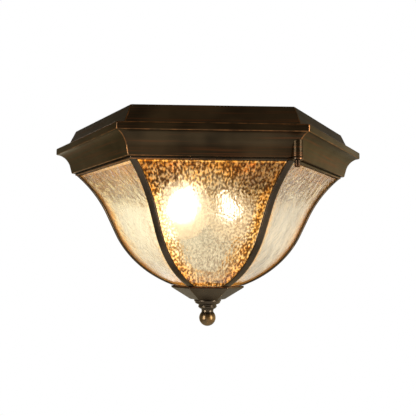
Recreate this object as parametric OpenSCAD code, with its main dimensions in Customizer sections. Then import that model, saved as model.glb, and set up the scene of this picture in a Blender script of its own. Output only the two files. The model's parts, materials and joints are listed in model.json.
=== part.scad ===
// Six-sided flush mount ceiling light: a cast canopy in two tiers with a hinged bell-shaped
// cage of bent glass below it, two lamps inside, and a turned finial at the foot.
// Millimetres, +Z up. The origin is on the ceiling, on the light's centre line.
// The hexagon's corners lie at 0, 60, 120... degrees; a flat faces the front, along -Y.

/* [Canopy] */
// Corner radius of the lip, the widest part of the light
lip_r = 165; // [160:0.5:175]
// Height of the lip's upright band
lip_h = 7; // [5:0.5:9]
// Small chamfer on the lip's edges
lip_edge = 0.8; // [0.4:0.1:1.5]
// How far the upper tier stands in from the lip, at the corners
ledge_w = 11; // [8:0.5:13]
// Height of the upper tier, from the ceiling to the lip
upper_h = 19; // [17:0.5:24]
// How far the upper tier leans in towards the ceiling, at the corners
upper_lean = 9.5; // [4:0.5:12]
// How far the canopy's lower edge stands in from the lip, at the corners
foot_in = 17; // [16:0.5:19]
// Depth from the ceiling to the canopy's lower edge
canopy_h = 46; // [45:0.5:52]
// Radius of the hollow moulding under the lip
cove_r = 18; // [15:0.5:18.5]
// Flat under the lip, outside the hollow moulding
cove_set = 2; // [1.5:0.1:3]
// Wall of the casting
canopy_wall = 2.5; // [2:0.1:2.8]
// Depth of the recess between the ceiling and the canopy's plate
recess_h = 11.5; // [11.5:0.1:13]
// Thickness of the canopy's plate
plate_t = 2.5; // [2:0.1:3]

/* [Bell of glass and ribs] */
// Glass thickness
glass_t = 3; // [2.5:0.1:3.5]
// How far the glass starts inside the ring, across the flats
bell_in = 1; // [0.5:0.1:2]
// Lean of the bell from upright at its top, in degrees
top_lean = 46.7; // [44:0.1:49]
// Lean of the bell along its straight middle, in degrees
mid_lean = 22.6; // [20:0.1:25]
// Radius of the flare at the top
flare_r = 127.5; // [120:0.5:132]
// Length of the straight middle
straight_l = 21.2; // [18:0.1:24]
// Radius of the bowl below the middle
bowl_r = 99.5; // [97:0.5:101]
// Lean of the bell from upright at its foot, in degrees
foot_lean = 68.5; // [66:0.1:70]
// Width of a rib's outer face
rib_w = 7.2; // [6:0.1:9]
// Height of a rib's crown over the corner of the glass
rib_proud = 1.5; // [1:0.1:2.5]
// Thickness of a rib's edges, which lap over the glass
rib_edge = 1; // [0.8:0.1:1.4]
// Thickness of a rib's web, between two panels
rib_web = 2; // [1.5:0.1:3]
// Depth of a rib's web from the corner of the glass
web_depth = 5; // [4:0.1:6]

/* [Cage ring and latch] */
// Play between the ring and the canopy's foot, across the flats
ring_gap = 1; // [0.8:0.1:1.5]
// Wall of the ring
ring_wall = 1.8; // [1.5:0.1:2.5]
// Height of the ring inside the canopy's foot
ring_rise = 6.5; // [5:0.5:8]
// Height of the ring's band that shows below the canopy
ring_show = 2.3; // [2:0.1:3]
// Width of the ring's inward flange
flange_w = 13; // [11:0.5:16]
// Play between the closed ring's ears and the canopy's lower edge
ear_gap = 0.5; // [0.4:0.1:0.8]
// Radius of the two posts cast on the canopy's corners
post_r = 5.2; // [4.8:0.1:5.5]
// Distance of the posts from the light's centre, in from the lip's corner
post_in = 16.4; // [16:0.1:16.6]
// Depth from the ceiling to the top of the posts
post_top = 28; // [27:0.5:31]
// Radius of the captive screw's shank
screw_r = 1.7; // [1.5:0.1:1.8]
// Clearance round the shank and its snap ring in the post, so that the cage can swing
screw_play = 0.6; // [0.5:0.05:0.65]
// Radius of the captive screw's head
screw_head_r = 2.65; // [2.4:0.05:3]
// Length of the captive screw's head
screw_head_h = 6.1; // [5:0.1:8]
// Length of the shank above the ring's ear
screw_reach = 15.5; // [15:0.1:16]
// Height of the snap ring over the ring's ear, which is how far the screw backs out
snap_rise = 8.9; // [8.5:0.1:9.2]
// Running clearance of pins and of the captive screw
run_fit = 0.05; // [0.03:0.01:0.08]

/* [Hinge] */
// Distance of the hinge pin from the light's centre, in from the lip's corner
hinge_in = 15.5; // [15:0.1:16]
// Depth of the hinge pin below the canopy's lower edge
hinge_drop = 5.5; // [5:0.1:6]
// Outer radius of the hinge knuckles
knuckle_r = 3.4; // [3:0.1:3.8]
// Width of the canopy's knuckle
lug_w = 7; // [6:0.5:9]
// Width of each of the ring's knuckles
ear_w = 4; // [3:0.5:5]
// Side play between knuckles
knuckle_gap = 0.4; // [0.3:0.1:0.6]
// Radius of the hinge pin
pin_r = 1.5; // [1.2:0.1:1.8]

/* [Foot of the cage] */
// Thickness of the plate that carries the glass and the ribs
base_t = 2; // [1.5:0.1:3]
// How far the cap's rim covers the corner of the glass
cap_cover = 4.4; // [4:0.1:6]
// Height of the cap's rim
cap_rim_h = 2; // [1.5:0.1:3]
// Depth of the cap below its rim
cap_drop = 12.5; // [10:0.5:15]
// Corner radius of the cap's small end
cap_end_r = 18.5; // [17:0.5:21]
// Wall of the cap
cap_wall = 1.6; // [1.4:0.1:2]
// Radius of the finial's disc
disc_r = 13.3; // [12:0.1:15]
// Radius of the finial's collar
collar_r = 8.9; // [8:0.1:10]
// Radius of the finial's neck
neck_r = 6.3; // [5.5:0.1:7]
// Radius of the finial's ball
ball_r = 8.8; // [8:0.1:10]
// Radius of the threaded stud that carries the cap and the finial
foot_stud_r = 2.5; // [2:0.1:3]

/* [Lampholders and lamps] */
// Least tilt of the lamps below level, in degrees; they stand steeper in a narrow bell
least_tilt = 55; // [54:0.5:56]
// Least room from a bulb's centre to the glass, level and square to the flat
lamp_room = 45.7; // [44:0.1:47]
// Distance of a lampholder's back from the light's centre line
holder_out = 13; // [12.5:0.1:14]
// Depth of a lampholder's back below the ceiling
holder_drop = 24.7; // [24.4:0.1:26]
// Radius of a lampholder
holder_r = 17; // [16:0.1:18]
// Length of a lampholder
holder_l = 35; // [32:0.5:38]
// Radius of the lamp's screw cap
cap_screw_r = 13; // [12.9:0.05:13.1]
// Length of the lamp's screw cap
cap_screw_l = 25; // [24:0.5:27]
// Radius of the lamp's bulb
bulb_r = 30; // [28:0.5:31]
// Distance of the bulb's centre from the lamp's tip
bulb_s = 71.5; // [70:0.5:74]
// Width of the strap that carries the lampholders
strap_w = 26; // [22:0.5:30]
// Thickness of that strap
strap_t = 1.5; // [1.2:0.1:2]
// Distance of the strap's screws out from its bend
strap_land = 8.4; // [7.5:0.1:10]

/* [Ceiling fixing] */
// Distance between the ceiling box's two screws
box_spacing = 88.9; // [88.9]
// Radius of the slots' ends in the crossbar
slot_r = 2.4; // [2.2:0.1:2.8]
// End to end length of a slot
slot_l = 12; // [9:0.5:14]
// Distance from a canopy stud to the end of the crossbar
bar_end = 8; // [5:0.5:14]
// Width of the crossbar
bar_w = 20; // [17:0.5:24]
// Thickness of the crossbar
bar_t = 2.5; // [2:0.1:3]
// Distance between the two studs that hold the canopy
stud_spacing = 124; // [120:1:126]
// Radius of those studs
stud_r = 2.05; // [1.9:0.05:2.2]

/* [Hidden] */

// Standing clearance between pieces that are seated on each other
seat = 0.3;
// Overlap of a cutting tool past the face that it cuts
cut = 1;
// Half length of the long bars that the six-sided forms are cut from
far = 200;
// Directions of the corners that carry the latch, the hinge and the two lamps
latch_az = 300;
hinge_az = 120;
front_lamp_az = 240;
rear_lamp_az = 60;

lip_bottom = upper_h + lip_h;
shoulder_r = lip_r - ledge_w;
ceiling_r = shoulder_r - upper_lean;
foot_r = lip_r - foot_in;
post_pos = lip_r - post_in;
hinge_pos = lip_r - hinge_in;
hinge_z = -canopy_h - hinge_drop;
plate_bottom = recess_h + plate_t;

foot_inner_r = foot_r - corner_of(canopy_wall);
ring_r = foot_inner_r - corner_of(ring_gap);
ring_bottom = canopy_h + ring_show;
ear_top = canopy_h + ear_gap;
ear_t = ring_bottom - ear_top;
glass_top = ring_bottom + seat;

// Radii across the corners and across the flats of a hexagon
function flat_of(corner) = corner * cos(30);
function corner_of(flat) = flat / cos(30);
function backwards(list) = [for (i = [len(list) - 1:-1:0]) list[i]];

// A six-sided form whose corner radius follows a profile of [corner radius, z] points
module hex_form(profile) {
    right = [for (p = profile) [flat_of(p[0]), p[1]]];
    left = [for (p = backwards(profile)) [-flat_of(p[0]), p[1]]];
    intersection_for (k = [0:2])
        rotate([0, 0, 30 + 60 * k])
            rotate([90, 0, 0])
                linear_extrude(height = 2 * far, center = true)
                    polygon(concat(right, left));
}

module hex_prism(corner, top, bottom) {
    translate([0, 0, bottom])
        cylinder(r = corner, h = top - bottom, $fn = 6);
}

module at_corner(azimuth, radius, z) {
    rotate([0, 0, azimuth])
        translate([radius, 0, z])
            children();
}

// Canopy: the hollow moulding is an arc between these two slopes below level
cove_start = 14;
cove_end = 71;
cove_steps = 7;
cove_mid = [
    lip_r - cove_set + cove_r * sin(cove_start),
    -lip_bottom - cove_r * cos(cove_start)
];

function cove(radius) = [
    for (i = [0:cove_steps])
        let (a = cove_start + (cove_end - cove_start) * i / cove_steps)
            [cove_mid[0] - radius * sin(a), cove_mid[1] + radius * cos(a)]
];

function canopy_outside() = concat(
    [
        [ceiling_r, 0],
        [shoulder_r, -upper_h],
        [lip_r - lip_edge, -upper_h],
        [lip_r, -upper_h - lip_edge],
        [lip_r, -lip_bottom + lip_edge],
        [lip_r - lip_edge, -lip_bottom]
    ],
    cove(cove_r),
    [[foot_r, -canopy_h]]
);

// Corner radius of the upper tier's inner face at a depth below the ceiling
function tier_inside(depth) = ceiling_r + upper_lean * depth / upper_h - corner_of(canopy_wall);

function canopy_hollow() = concat(
    [
        [tier_inside(plate_bottom), -plate_bottom],
        [tier_inside(upper_h + canopy_wall), -upper_h - canopy_wall],
        [cove_mid[0] - (cove_r + canopy_wall) * sin(cove_start), -upper_h - canopy_wall]
    ],
    cove(cove_r + canopy_wall),
    [
        [foot_inner_r, -canopy_h],
        [foot_inner_r, -canopy_h - cut]
    ]
);

thread_top = post_top + 2;
counterbore_top = ear_top - snap_rise - 2;
snap_r = screw_r + 0.7;
snap_t = 0.8;
stud_hole_r = stud_r + 0.5;
wire_hole_r = 11;
strap_screw_r = 2;

module canopy() {
    color("#3a2c22")
        union() {
            difference() {
                union() {
                    hex_form(canopy_outside());
                    for (azimuth = [latch_az, hinge_az])
                        at_corner(azimuth, post_pos, -canopy_h)
                            cylinder(r = post_r, h = canopy_h - post_top, $fn = 40);
                }
                hex_form([
                    [tier_inside(-cut), cut],
                    [tier_inside(recess_h), -recess_h]
                ]);
                hex_form(canopy_hollow());
                // Way for the captive screw: a counterbore, then the threaded hole
                at_corner(latch_az, post_pos, -canopy_h - cut)
                    cylinder(r = snap_r + screw_play, h = cut + canopy_h - counterbore_top, $fn = 32);
                at_corner(latch_az, post_pos, -canopy_h)
                    cylinder(r = screw_r + screw_play, h = canopy_h - thread_top, $fn = 32);
                translate([0, 0, -plate_bottom - cut])
                    cylinder(r = wire_hole_r, h = plate_t + 2 * cut, $fn = 40);
                for (side = [-1, 1])
                    translate([side * stud_spacing / 2, 0, -plate_bottom - cut])
                        cylinder(r = stud_hole_r, h = plate_t + 2 * cut, $fn = 24);
                for (azimuth = [front_lamp_az, rear_lamp_az])
                    at_corner(azimuth, strap_screw_out, -plate_bottom - cut)
                        cylinder(r = strap_screw_r + 0.2, h = plate_t + 2 * cut, $fn = 24);
            }
            hinge_lug();
        }
}

// The canopy's knuckle hangs under the post at the hinge corner
module hinge_lug() {
    rotate([0, 0, hinge_az])
        difference() {
            union() {
                translate([hinge_pos - knuckle_r, -lug_w / 2, hinge_z])
                    cube([2 * knuckle_r, lug_w, hinge_drop]);
                knuckle(knuckle_r, -lug_w / 2, lug_w);
            }
            knuckle(pin_r + run_fit, -lug_w / 2 - cut, lug_w + 2 * cut);
        }
}

// A cylinder on the hinge axis, from one place along the pin, over a width
module knuckle(radius, from, width) {
    translate([hinge_pos, from, hinge_z])
        rotate([-90, 0, 0])
            cylinder(r = radius, h = width, $fn = 32);
}

// Ceiling fixing
module crossbar() {
    color("#b9b9b4")
        difference() {
            translate([-stud_spacing / 2 - bar_end, -bar_w / 2, -bar_t])
                cube([stud_spacing + 2 * bar_end, bar_w, bar_t]);
            for (side = [-1, 1]) {
                translate([side * box_spacing / 2, 0, -bar_t - cut])
                    slot_cut();
                translate([side * stud_spacing / 2, 0, -bar_t - cut])
                    cylinder(r = stud_r + run_fit, h = bar_t + 2 * cut, $fn = 24);
            }
            translate([0, 0, -bar_t - cut])
                cylinder(r = 6.5, h = bar_t + 2 * cut, $fn = 32);
            translate([ground_x, 0, -bar_t - cut])
                cylinder(r = ground_r + run_fit, h = bar_t + 2 * cut, $fn = 24);
        }
}

module slot_cut() {
    run = slot_l / 2 - slot_r;
    for (end = [-1, 1])
        translate([end * run, 0, 0])
            cylinder(r = slot_r, h = bar_t + 2 * cut, $fn = 24);
    translate([-run, -slot_r, 0])
        cube([2 * run, 2 * slot_r, bar_t + 2 * cut]);
}

ground_x = 22;
ground_r = 1.9;
ground_head_r = 4;
nut_r = 4.7;
nut_h = 3.2;
cap_nut_r = 5.5;
cap_nut_h = 4.5;
dome_r = 4.3;
dome_h = 4.5;
stud_end = plate_bottom + seat + cap_nut_h + dome_h - 2;

module canopy_studs() {
    color("#c9a55a")
        for (side = [-1, 1])
            translate([side * stud_spacing / 2, 0, -stud_end])
                cylinder(r = stud_r, h = stud_end - seat, $fn = 24);
}

module lock_nuts() {
    color("#b9b9b4")
        for (side = [-1, 1])
            translate([side * stud_spacing / 2, 0, -bar_t - seat - nut_h])
                difference() {
                    cylinder(r = nut_r, h = nut_h, $fn = 6);
                    translate([0, 0, -cut])
                        cylinder(r = stud_r + run_fit, h = nut_h + 2 * cut, $fn = 24);
                }
}

module cap_nuts() {
    color("#4a3826")
        for (side = [-1, 1])
            translate([side * stud_spacing / 2, 0, -plate_bottom - seat])
                difference() {
                    union() {
                        translate([0, 0, -cap_nut_h])
                            cylinder(r = cap_nut_r, h = cap_nut_h, $fn = 6);
                        rotate_extrude($fn = 32)
                            polygon(concat(
                                [[0, -cap_nut_h]],
                                [for (a = [0:15:90]) [dome_r * cos(a), -cap_nut_h - dome_h * sin(a)]]
                            ));
                    }
                    translate([0, 0, -cap_nut_h - dome_h + 1.5])
                        cylinder(r = stud_r + run_fit, h = cap_nut_h + dome_h, $fn = 24);
                }
}

module ground_screw() {
    color("#3f8a4a")
        translate([ground_x, 0, 0]) {
            translate([0, 0, -bar_t - seat])
                cylinder(r = ground_r, h = bar_t, $fn = 24);
            translate([0, 0, -bar_t - seat - 2])
                difference() {
                    cylinder(r = ground_head_r, h = 2, $fn = 32);
                    translate([-ground_head_r, -0.5, -cut])
                        cube([2 * ground_head_r, 1, cut + 0.9]);
                }
        }
}

pad_r = 104;
pad_hole_r = 52;
pad_t = 5.5;

module insulation_pad() {
    color("#d9cf9a")
        difference() {
            translate([0, 0, -recess_h + seat])
                cylinder(r = pad_r, h = pad_t, $fn = 64);
            translate([0, 0, -recess_h + seat - cut])
                cylinder(r = pad_hole_r, h = pad_t + 2 * cut, $fn = 64);
            for (side = [-1, 1])
                translate([side * stud_spacing / 2, 0, -recess_h + seat - cut])
                    cylinder(r = nut_r + 1.5, h = pad_t + 2 * cut, $fn = 32);
        }
}

bushing_wall = 1.5;
bushing_flange = 2;
bushing_flange_t = 0.8;

module wire_bushing() {
    outer = wire_hole_r - seat;
    color("#1c1c1c")
        difference() {
            union() {
                translate([0, 0, -plate_bottom - bushing_flange_t])
                    cylinder(r = outer, h = plate_t + seat + bushing_flange_t, $fn = 40);
                translate([0, 0, -recess_h + seat])
                    cylinder(r = wire_hole_r + bushing_flange, h = bushing_flange_t, $fn = 40);
            }
            translate([0, 0, -plate_bottom - bushing_flange_t - cut])
                cylinder(
                    r = outer - bushing_wall,
                    h = plate_t + seat + 2 * bushing_flange_t + 2 * cut,
                    $fn = 40
                );
        }
}

// Leads: from each lampholder's back, up through the bushing, to the two wire nuts.
// The route is in the lampholder's own plane: outwards, sideways and up.
lead_r = 1.1;
lead_sides = 8;
lead_z = -7;
lead_out = 1.6;
nut_mouth = 20;
lead_route = [
    [12.4, 2.5, -23.9],
    [9.8, 2.5, -20.2],
    [7.2, 2.6, -16.4],
    [5.6, 3.4, -12.6],
    [4.2, 6, -9.4],
    [2.8, 10, -7.5],
    [lead_out, 14.5, lead_z],
    [lead_out, nut_mouth + 3, lead_z]
];
wire_nut_r = 3.9;
wire_nut_tip_r = 2.6;
wire_nut_l = 15;

function unit(v) = v / norm(v);
function heading(route, i) =
    unit(route[min(i + 1, len(route) - 1)] - route[max(i - 1, 0)]);
function lead_ring(route, i) =
    let (
        along = heading(route, i),
        across = unit(cross(along, [1, 0, 0])),
        up = cross(across, along)
    )
    [for (j = [0:lead_sides - 1])
        route[i] + lead_r * (across * cos(360 * j / lead_sides) + up * sin(360 * j / lead_sides))];

// A closed body through rings of equally many points
module through_rings(rings) {
    sides = len(rings[0]);
    last = len(rings) - 1;
    polyhedron(
        points = [for (ring = rings) each ring],
        faces = concat(
            [[for (j = [0:sides - 1]) j]],
            [for (i = [0:last - 1], j = [0:sides - 1])
                [i * sides + j, (i + 1) * sides + (j + 1) % sides, i * sides + (j + 1) % sides]],
            [for (i = [0:last - 1], j = [0:sides - 1])
                [i * sides + j, (i + 1) * sides + j, (i + 1) * sides + (j + 1) % sides]],
            [[for (j = [sides - 1:-1:0]) last * sides + j]]
        )
    );
}

module lamp_leads() {
    color("#e8e4da")
        for (azimuth = [front_lamp_az, rear_lamp_az])
            for (side = [0, 1])
                rotate([0, 0, azimuth])
                    mirror([0, side, 0])
                        through_rings([for (i = [0:len(lead_route) - 1]) lead_ring(lead_route, i)]);
}

module wire_nuts() {
    color("#d77a2b")
        for (azimuth = [front_lamp_az, rear_lamp_az])
            rotate([0, 0, azimuth])
                translate([0, nut_mouth, lead_z])
                    rotate([-90, 0, 0])
                        difference() {
                            cylinder(r1 = wire_nut_r, r2 = wire_nut_tip_r, h = wire_nut_l, $fn = 32);
                            translate([0, 0, -cut])
                                cylinder(r = wire_nut_r - 0.8, h = cut + 6, $fn = 32);
                        }
}

// Lampholders stand on a bent strap, and each lamp's axis tilts down and out
module at_lamp(azimuth) {
    at_corner(azimuth, holder_out, -holder_drop)
        rotate([0, 90 + lamp_tilt, 0])
            children();
}

// Place on the strap's profile: a distance up along the holder's back, and one behind it
function strap_point(up, behind) = [
    holder_out + up * sin(lamp_tilt) - behind * cos(lamp_tilt),
    -holder_drop + up * cos(lamp_tilt) + behind * sin(lamp_tilt)
];
function strap_up_at_axis(behind) = (behind * cos(lamp_tilt) - holder_out) / sin(lamp_tilt);
function strap_up_at_z(z, behind) = (z + holder_drop - behind * sin(lamp_tilt)) / cos(lamp_tilt);

strap_foot = 6;
holder_screw_out = 8.5;
holder_screw_r = 1.5;
lead_hole_r = 4.8;

module lamp_strap() {
    near = seat;
    back = seat + strap_t;
    foot = -plate_bottom;
    half = [
        strap_point(strap_up_at_axis(near), near),
        strap_point(strap_up_at_z(foot - strap_t, near), near),
        [strap_screw_out + strap_foot, foot - strap_t],
        [strap_screw_out + strap_foot, foot],
        strap_point(strap_up_at_z(foot, back), back),
        strap_point(strap_up_at_axis(back), back)
    ];
    color("#9b9b97")
        difference() {
            rotate([0, 0, rear_lamp_az])
                rotate([90, 0, 0])
                    linear_extrude(height = strap_w, center = true)
                        polygon(concat(half, [for (p = backwards(half)) [-p[0], p[1]]]));
            for (azimuth = [front_lamp_az, rear_lamp_az]) {
                at_lamp(azimuth)
                    translate([0, 0, -back - cut])
                        cylinder(r = lead_hole_r, h = strap_t + 2 * cut, $fn = 32);
                at_lamp(azimuth)
                    for (side = [-1, 1])
                        translate([side * holder_screw_out, 0, -back - cut])
                            cylinder(r = holder_screw_r + seat, h = strap_t + 2 * cut, $fn = 24);
                at_corner(azimuth, strap_screw_out, -plate_bottom - strap_t - cut)
                    cylinder(r = strap_screw_r + seat, h = strap_t + 2 * cut, $fn = 24);
            }
        }
}

module strap_screws() {
    color("#c9c9c4")
        for (azimuth = [front_lamp_az, rear_lamp_az])
            at_corner(azimuth, strap_screw_out, -plate_bottom - strap_t - seat) {
                cylinder(r = strap_screw_r, h = strap_t + plate_t, $fn = 24);
                translate([0, 0, -2])
                    cylinder(r = 3.6, h = 2, $fn = 32);
            }
}

module holder_screws() {
    color("#c9c9c4")
        for (azimuth = [front_lamp_az, rear_lamp_az])
            at_lamp(azimuth)
                for (side = [-1, 1])
                    translate([side * holder_screw_out, 0, -strap_t - 2 * seat]) {
                        cylinder(r = holder_screw_r, h = strap_t + 2 * seat + 2, $fn = 24);
                        translate([0, 0, -1.6])
                            cylinder(r = 2.7, h = 1.6, $fn = 32);
                    }
}

holder_back_t = 3;
holder_back_r = 14;
holder_step = 8;
tip_bore_r = 10.5;
shell_t = 0.5;
shell_r = cap_screw_r + 0.45;
holder_bore_r = shell_r + shell_t + seat;
contact_t = 0.7;
lamp_tip = holder_back_t + 2 * seat + contact_t;

module lampholder() {
    color("#efeae0")
        difference() {
            rotate_extrude($fn = 64)
                polygon([
                    [0, 0],
                    [holder_back_r, 0],
                    [holder_back_r, holder_step - 3],
                    [holder_r, holder_step - 0.5],
                    [holder_r, holder_l - 1.5],
                    [holder_r - 1, holder_l],
                    [0, holder_l]
                ]);
            translate([0, 0, holder_back_t])
                cylinder(r = tip_bore_r, h = holder_l, $fn = 64);
            translate([0, 0, holder_step])
                cylinder(r = holder_bore_r, h = holder_l, $fn = 64);
            for (side = [-1, 1])
                translate([side * holder_screw_out, 0, -cut])
                    cylinder(r = holder_screw_r + run_fit, h = cut + 2.4, $fn = 24);
        }
}

module screw_shell() {
    color("#c9a55a")
        difference() {
            translate([0, 0, holder_step + seat])
                cylinder(r = shell_r + shell_t, h = holder_l - holder_step - 2, $fn = 64);
            translate([0, 0, holder_step])
                cylinder(r = shell_r, h = holder_l, $fn = 64);
        }
}

module centre_contact() {
    color("#c9a55a")
        translate([0, 0, holder_back_t + seat])
            cylinder(r = 6, h = contact_t, $fn = 48);
}

lamp_neck_r = cap_screw_r + 0.2;
bulb_wall = 1;
neck_bend_r = 40;
neck_start = bulb_s - sqrt(pow(bulb_r + neck_bend_r, 2) - pow(lamp_neck_r + neck_bend_r, 2));
neck_turn = atan2(bulb_s - neck_start, lamp_neck_r + neck_bend_r);

// The bulb's outline, drawn in by an offset: neck, then globe
function bulb_line(in) = concat(
    [[lamp_neck_r - in, cap_screw_l + seat]],
    [for (i = [0:5]) let (a = neck_turn * i / 5)
        [
            lamp_neck_r + neck_bend_r - (neck_bend_r + in) * cos(a),
            neck_start + (neck_bend_r + in) * sin(a)
        ]],
    [for (i = [1:14]) let (a = -neck_turn + (90 + neck_turn) * i / 14)
        [(bulb_r - in) * cos(a), bulb_s + (bulb_r - in) * sin(a)]]
);

module lamp_bulb() {
    color("#fff3d0")
        translate([0, 0, lamp_tip])
            rotate_extrude($fn = 64)
                polygon(concat(bulb_line(0), backwards(bulb_line(bulb_wall))));
}

// The lamp's contact and its insulator, at the tip of the screw cap
tip_r = 9;
tip_h = 5.2;

module lamp_contact() {
    color("#26211c")
        translate([0, 0, lamp_tip])
            rotate_extrude($fn = 48)
                polygon([
                    [0, 0],
                    [3.5, 0],
                    [4.5, 1],
                    [tip_r, 3.6],
                    [tip_r, tip_h],
                    [0, tip_h]
                ]);
}

cap_screw_wall = 0.8;

module lamp_cap() {
    color("#c4c2ba")
        translate([0, 0, lamp_tip])
            rotate_extrude($fn = 64)
                polygon([
                    [tip_r + run_fit, 4],
                    [cap_screw_r, 6.2],
                    [cap_screw_r, cap_screw_l],
                    [cap_screw_r - cap_screw_wall, cap_screw_l],
                    [cap_screw_r - cap_screw_wall, 7],
                    [tip_r + run_fit, tip_h]
                ]);
}

// Bell: the flare, the straight middle and the bowl of the glass's outer face, across the flats.
// A place on it is [radius, z, lean from upright].
bell_top_a = flat_of(ring_r) - bell_in;
flare_mid = [bell_top_a + flare_r * cos(top_lean), -canopy_h - flare_r * sin(top_lean)];
flare_end = [flare_mid[0] - flare_r * cos(mid_lean), flare_mid[1] + flare_r * sin(mid_lean)];
bowl_start = [flare_end[0] - straight_l * sin(mid_lean), flare_end[1] - straight_l * cos(mid_lean)];
bowl_mid = [bowl_start[0] - bowl_r * cos(mid_lean), bowl_start[1] + bowl_r * sin(mid_lean)];
glass_foot = bowl_r * sin(foot_lean) - bowl_mid[1];

function on_flare(lean, in) = [
    flare_mid[0] - (flare_r + in) * cos(lean),
    flare_mid[1] + (flare_r + in) * sin(lean),
    lean
];
function on_bowl(lean, in) = [
    bowl_mid[0] + (bowl_r - in) * cos(lean),
    bowl_mid[1] - (bowl_r - in) * sin(lean),
    lean
];
function steps(from, to, count) = [for (i = [0:count]) from + (to - from) * i / count];
function bell(top, foot, in, flare_steps, bowl_steps) = concat(
    [for (lean = steps(top, mid_lean, flare_steps)) on_flare(lean, in)],
    [for (lean = steps(mid_lean, foot, bowl_steps)) on_bowl(lean, in)]
);
function flare_lean(z) = asin((z - flare_mid[1]) / flare_r);

foot_a = on_bowl(foot_lean, 0)[0];

// The room beside the bulbs settles the lamps' tilt below level. How deep a bulb hangs, and so how
// wide the bell is there, depends on the tilt in turn, so the tilt is settled in a few rounds.
tilt_rounds = 8;
lamp_reach = lamp_tip + bulb_s;
function bell_a(z) = z > flare_end[1]
    ? on_flare(flare_lean(z), 0)[0]
    : flare_end[0] - (flare_end[1] - z) * tan(mid_lean);
function tilt_for_depth(z) = max(
    least_tilt,
    acos(min(1, (corner_of(bell_a(z) - lamp_room) - holder_out) / lamp_reach))
);
function settled(tilt, rounds) = rounds <= 0
    ? tilt
    : settled(tilt_for_depth(-holder_drop - lamp_reach * sin(tilt)), rounds - 1);
lamp_tilt = settled(least_tilt, tilt_rounds);
strap_screw_out = strap_point(strap_up_at_z(-plate_bottom - strap_t, seat), seat)[0] + strap_land;

// Lean at which even the glass's inner face has passed its foot
end_lean = asin(bowl_r * sin(foot_lean) / (bowl_r - glass_t)) + 1;

// A length of the bell's skin between two depths, over one flat, kept clear of both corners
module bell_panel(azimuth, in, thick, top, foot, clear) {
    skin = concat(
        bell(top_lean, end_lean, in, 7, 13),
        backwards(bell(top_lean, end_lean, in + thick, 7, 13))
    );
    rotate([0, 0, azimuth])
        intersection() {
            rotate([90, 0, 0])
                linear_extrude(height = 2 * far, center = true)
                    polygon([for (p = skin) [p[0], p[1]]]);
            translate([clear / sin(30), 0, -foot])
                linear_extrude(height = foot - top)
                    polygon([[0, 0], [far, far * tan(30)], [far, -far * tan(30)]]);
        }
}

module glass(azimuth) {
    color("#d9b98a", 0.6)
        bell_panel(azimuth, 0, glass_t, glass_top, glass_foot, rib_web / 2 + seat);
}

// Rib: a crowned bar over the corner of the glass, with a web between the panels
crown_steps = [90, 45, 0, -45, -90];
function rib_section(lean) =
    let (
        fall = tan(30) * cos(lean),
        under = seat - fall * rib_w / 2,
        neck = seat - fall * rib_web / 2,
        edge = under + rib_edge
    )
    concat(
        [for (a = crown_steps) [rib_w / 2 * sin(a), edge + (rib_proud - edge) * cos(a)]],
        [
            [-rib_w / 2, under],
            [-rib_web / 2, neck],
            [-rib_web / 2, -web_depth],
            [rib_web / 2, -web_depth],
            [rib_web / 2, neck],
            [rib_w / 2, under]
        ]
    );

// The sections turn level over three steps at each end, so that the ends are cut flat
function rib_rings(places) = [
    for (i = [0:len(places) - 1])
        let (
            lean = atan(tan(places[i][2]) / cos(30)),
            tilt = lean * min(1, i / 3, (len(places) - 1 - i) / 3),
            reach = 1 / cos(lean - tilt)
        )
        [for (p = rib_section(lean)) [
            corner_of(places[i][0]) + p[1] * reach * cos(tilt),
            p[0],
            places[i][1] - p[1] * reach * sin(tilt)
        ]]
];

module rib(azimuth) {
    color("#33271e")
        rotate([0, 0, azimuth])
            through_rings(rib_rings(
                bell(flare_lean(-ring_bottom), foot_lean, 0, 8, 12)
            ));
}

// Ring: an angle section inside the canopy's foot, with an ear for the latch at one corner
// and a pair of knuckles for the hinge at the opposite one
module cage_ring() {
    inner = ring_r - corner_of(ring_wall);
    color("#33271e")
        difference() {
            union() {
                difference() {
                    hex_prism(ring_r, -canopy_h + ring_rise, -ring_bottom);
                    hex_prism(inner, -canopy_h + ring_rise + cut, -ear_top);
                    hex_prism(ring_r - corner_of(flange_w), 0, -ring_bottom - cut);
                }
                rotate([0, 0, latch_az])
                    translate([ring_r - corner_of(ring_wall), -post_r, -ring_bottom])
                        cube([post_pos - ring_r + corner_of(ring_wall), 2 * post_r, ear_t]);
                at_corner(latch_az, post_pos, -ring_bottom)
                    cylinder(r = post_r, h = ear_t, $fn = 40);
                hinge_ears();
            }
            at_corner(latch_az, post_pos, -ring_bottom - cut)
                cylinder(r = screw_r + run_fit, h = ear_t + 2 * cut, $fn = 32);
            rotate([0, 0, hinge_az])
                knuckle(pin_r + run_fit, -far / 10, far / 5);
        }
}

module hinge_ears() {
    from = lug_w / 2 + knuckle_gap;
    rotate([0, 0, hinge_az])
        for (side = [0, 1])
            mirror([0, side, 0]) {
                knuckle(knuckle_r, from, ear_w);
                translate([hinge_pos - knuckle_r, from, hinge_z])
                    cube([knuckle_r, ear_w, hinge_drop - ear_gap]);
                translate([ring_r - corner_of(flange_w) + 4, from, -ring_bottom])
                    cube([hinge_pos - ring_r + corner_of(flange_w) - 4, ear_w, ear_t]);
            }
}

pin_head_r = 2.6;
pin_head_t = 1.2;

module hinge_pin() {
    half = lug_w / 2 + knuckle_gap + ear_w + seat;
    color("#8a6a45")
        rotate([0, 0, hinge_az]) {
            knuckle(pin_r, -half, 2 * half);
            knuckle(pin_head_r, half, pin_head_t);
            knuckle(pin_head_r - 0.5, -half - pin_head_t, pin_head_t);
        }
}

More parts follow.
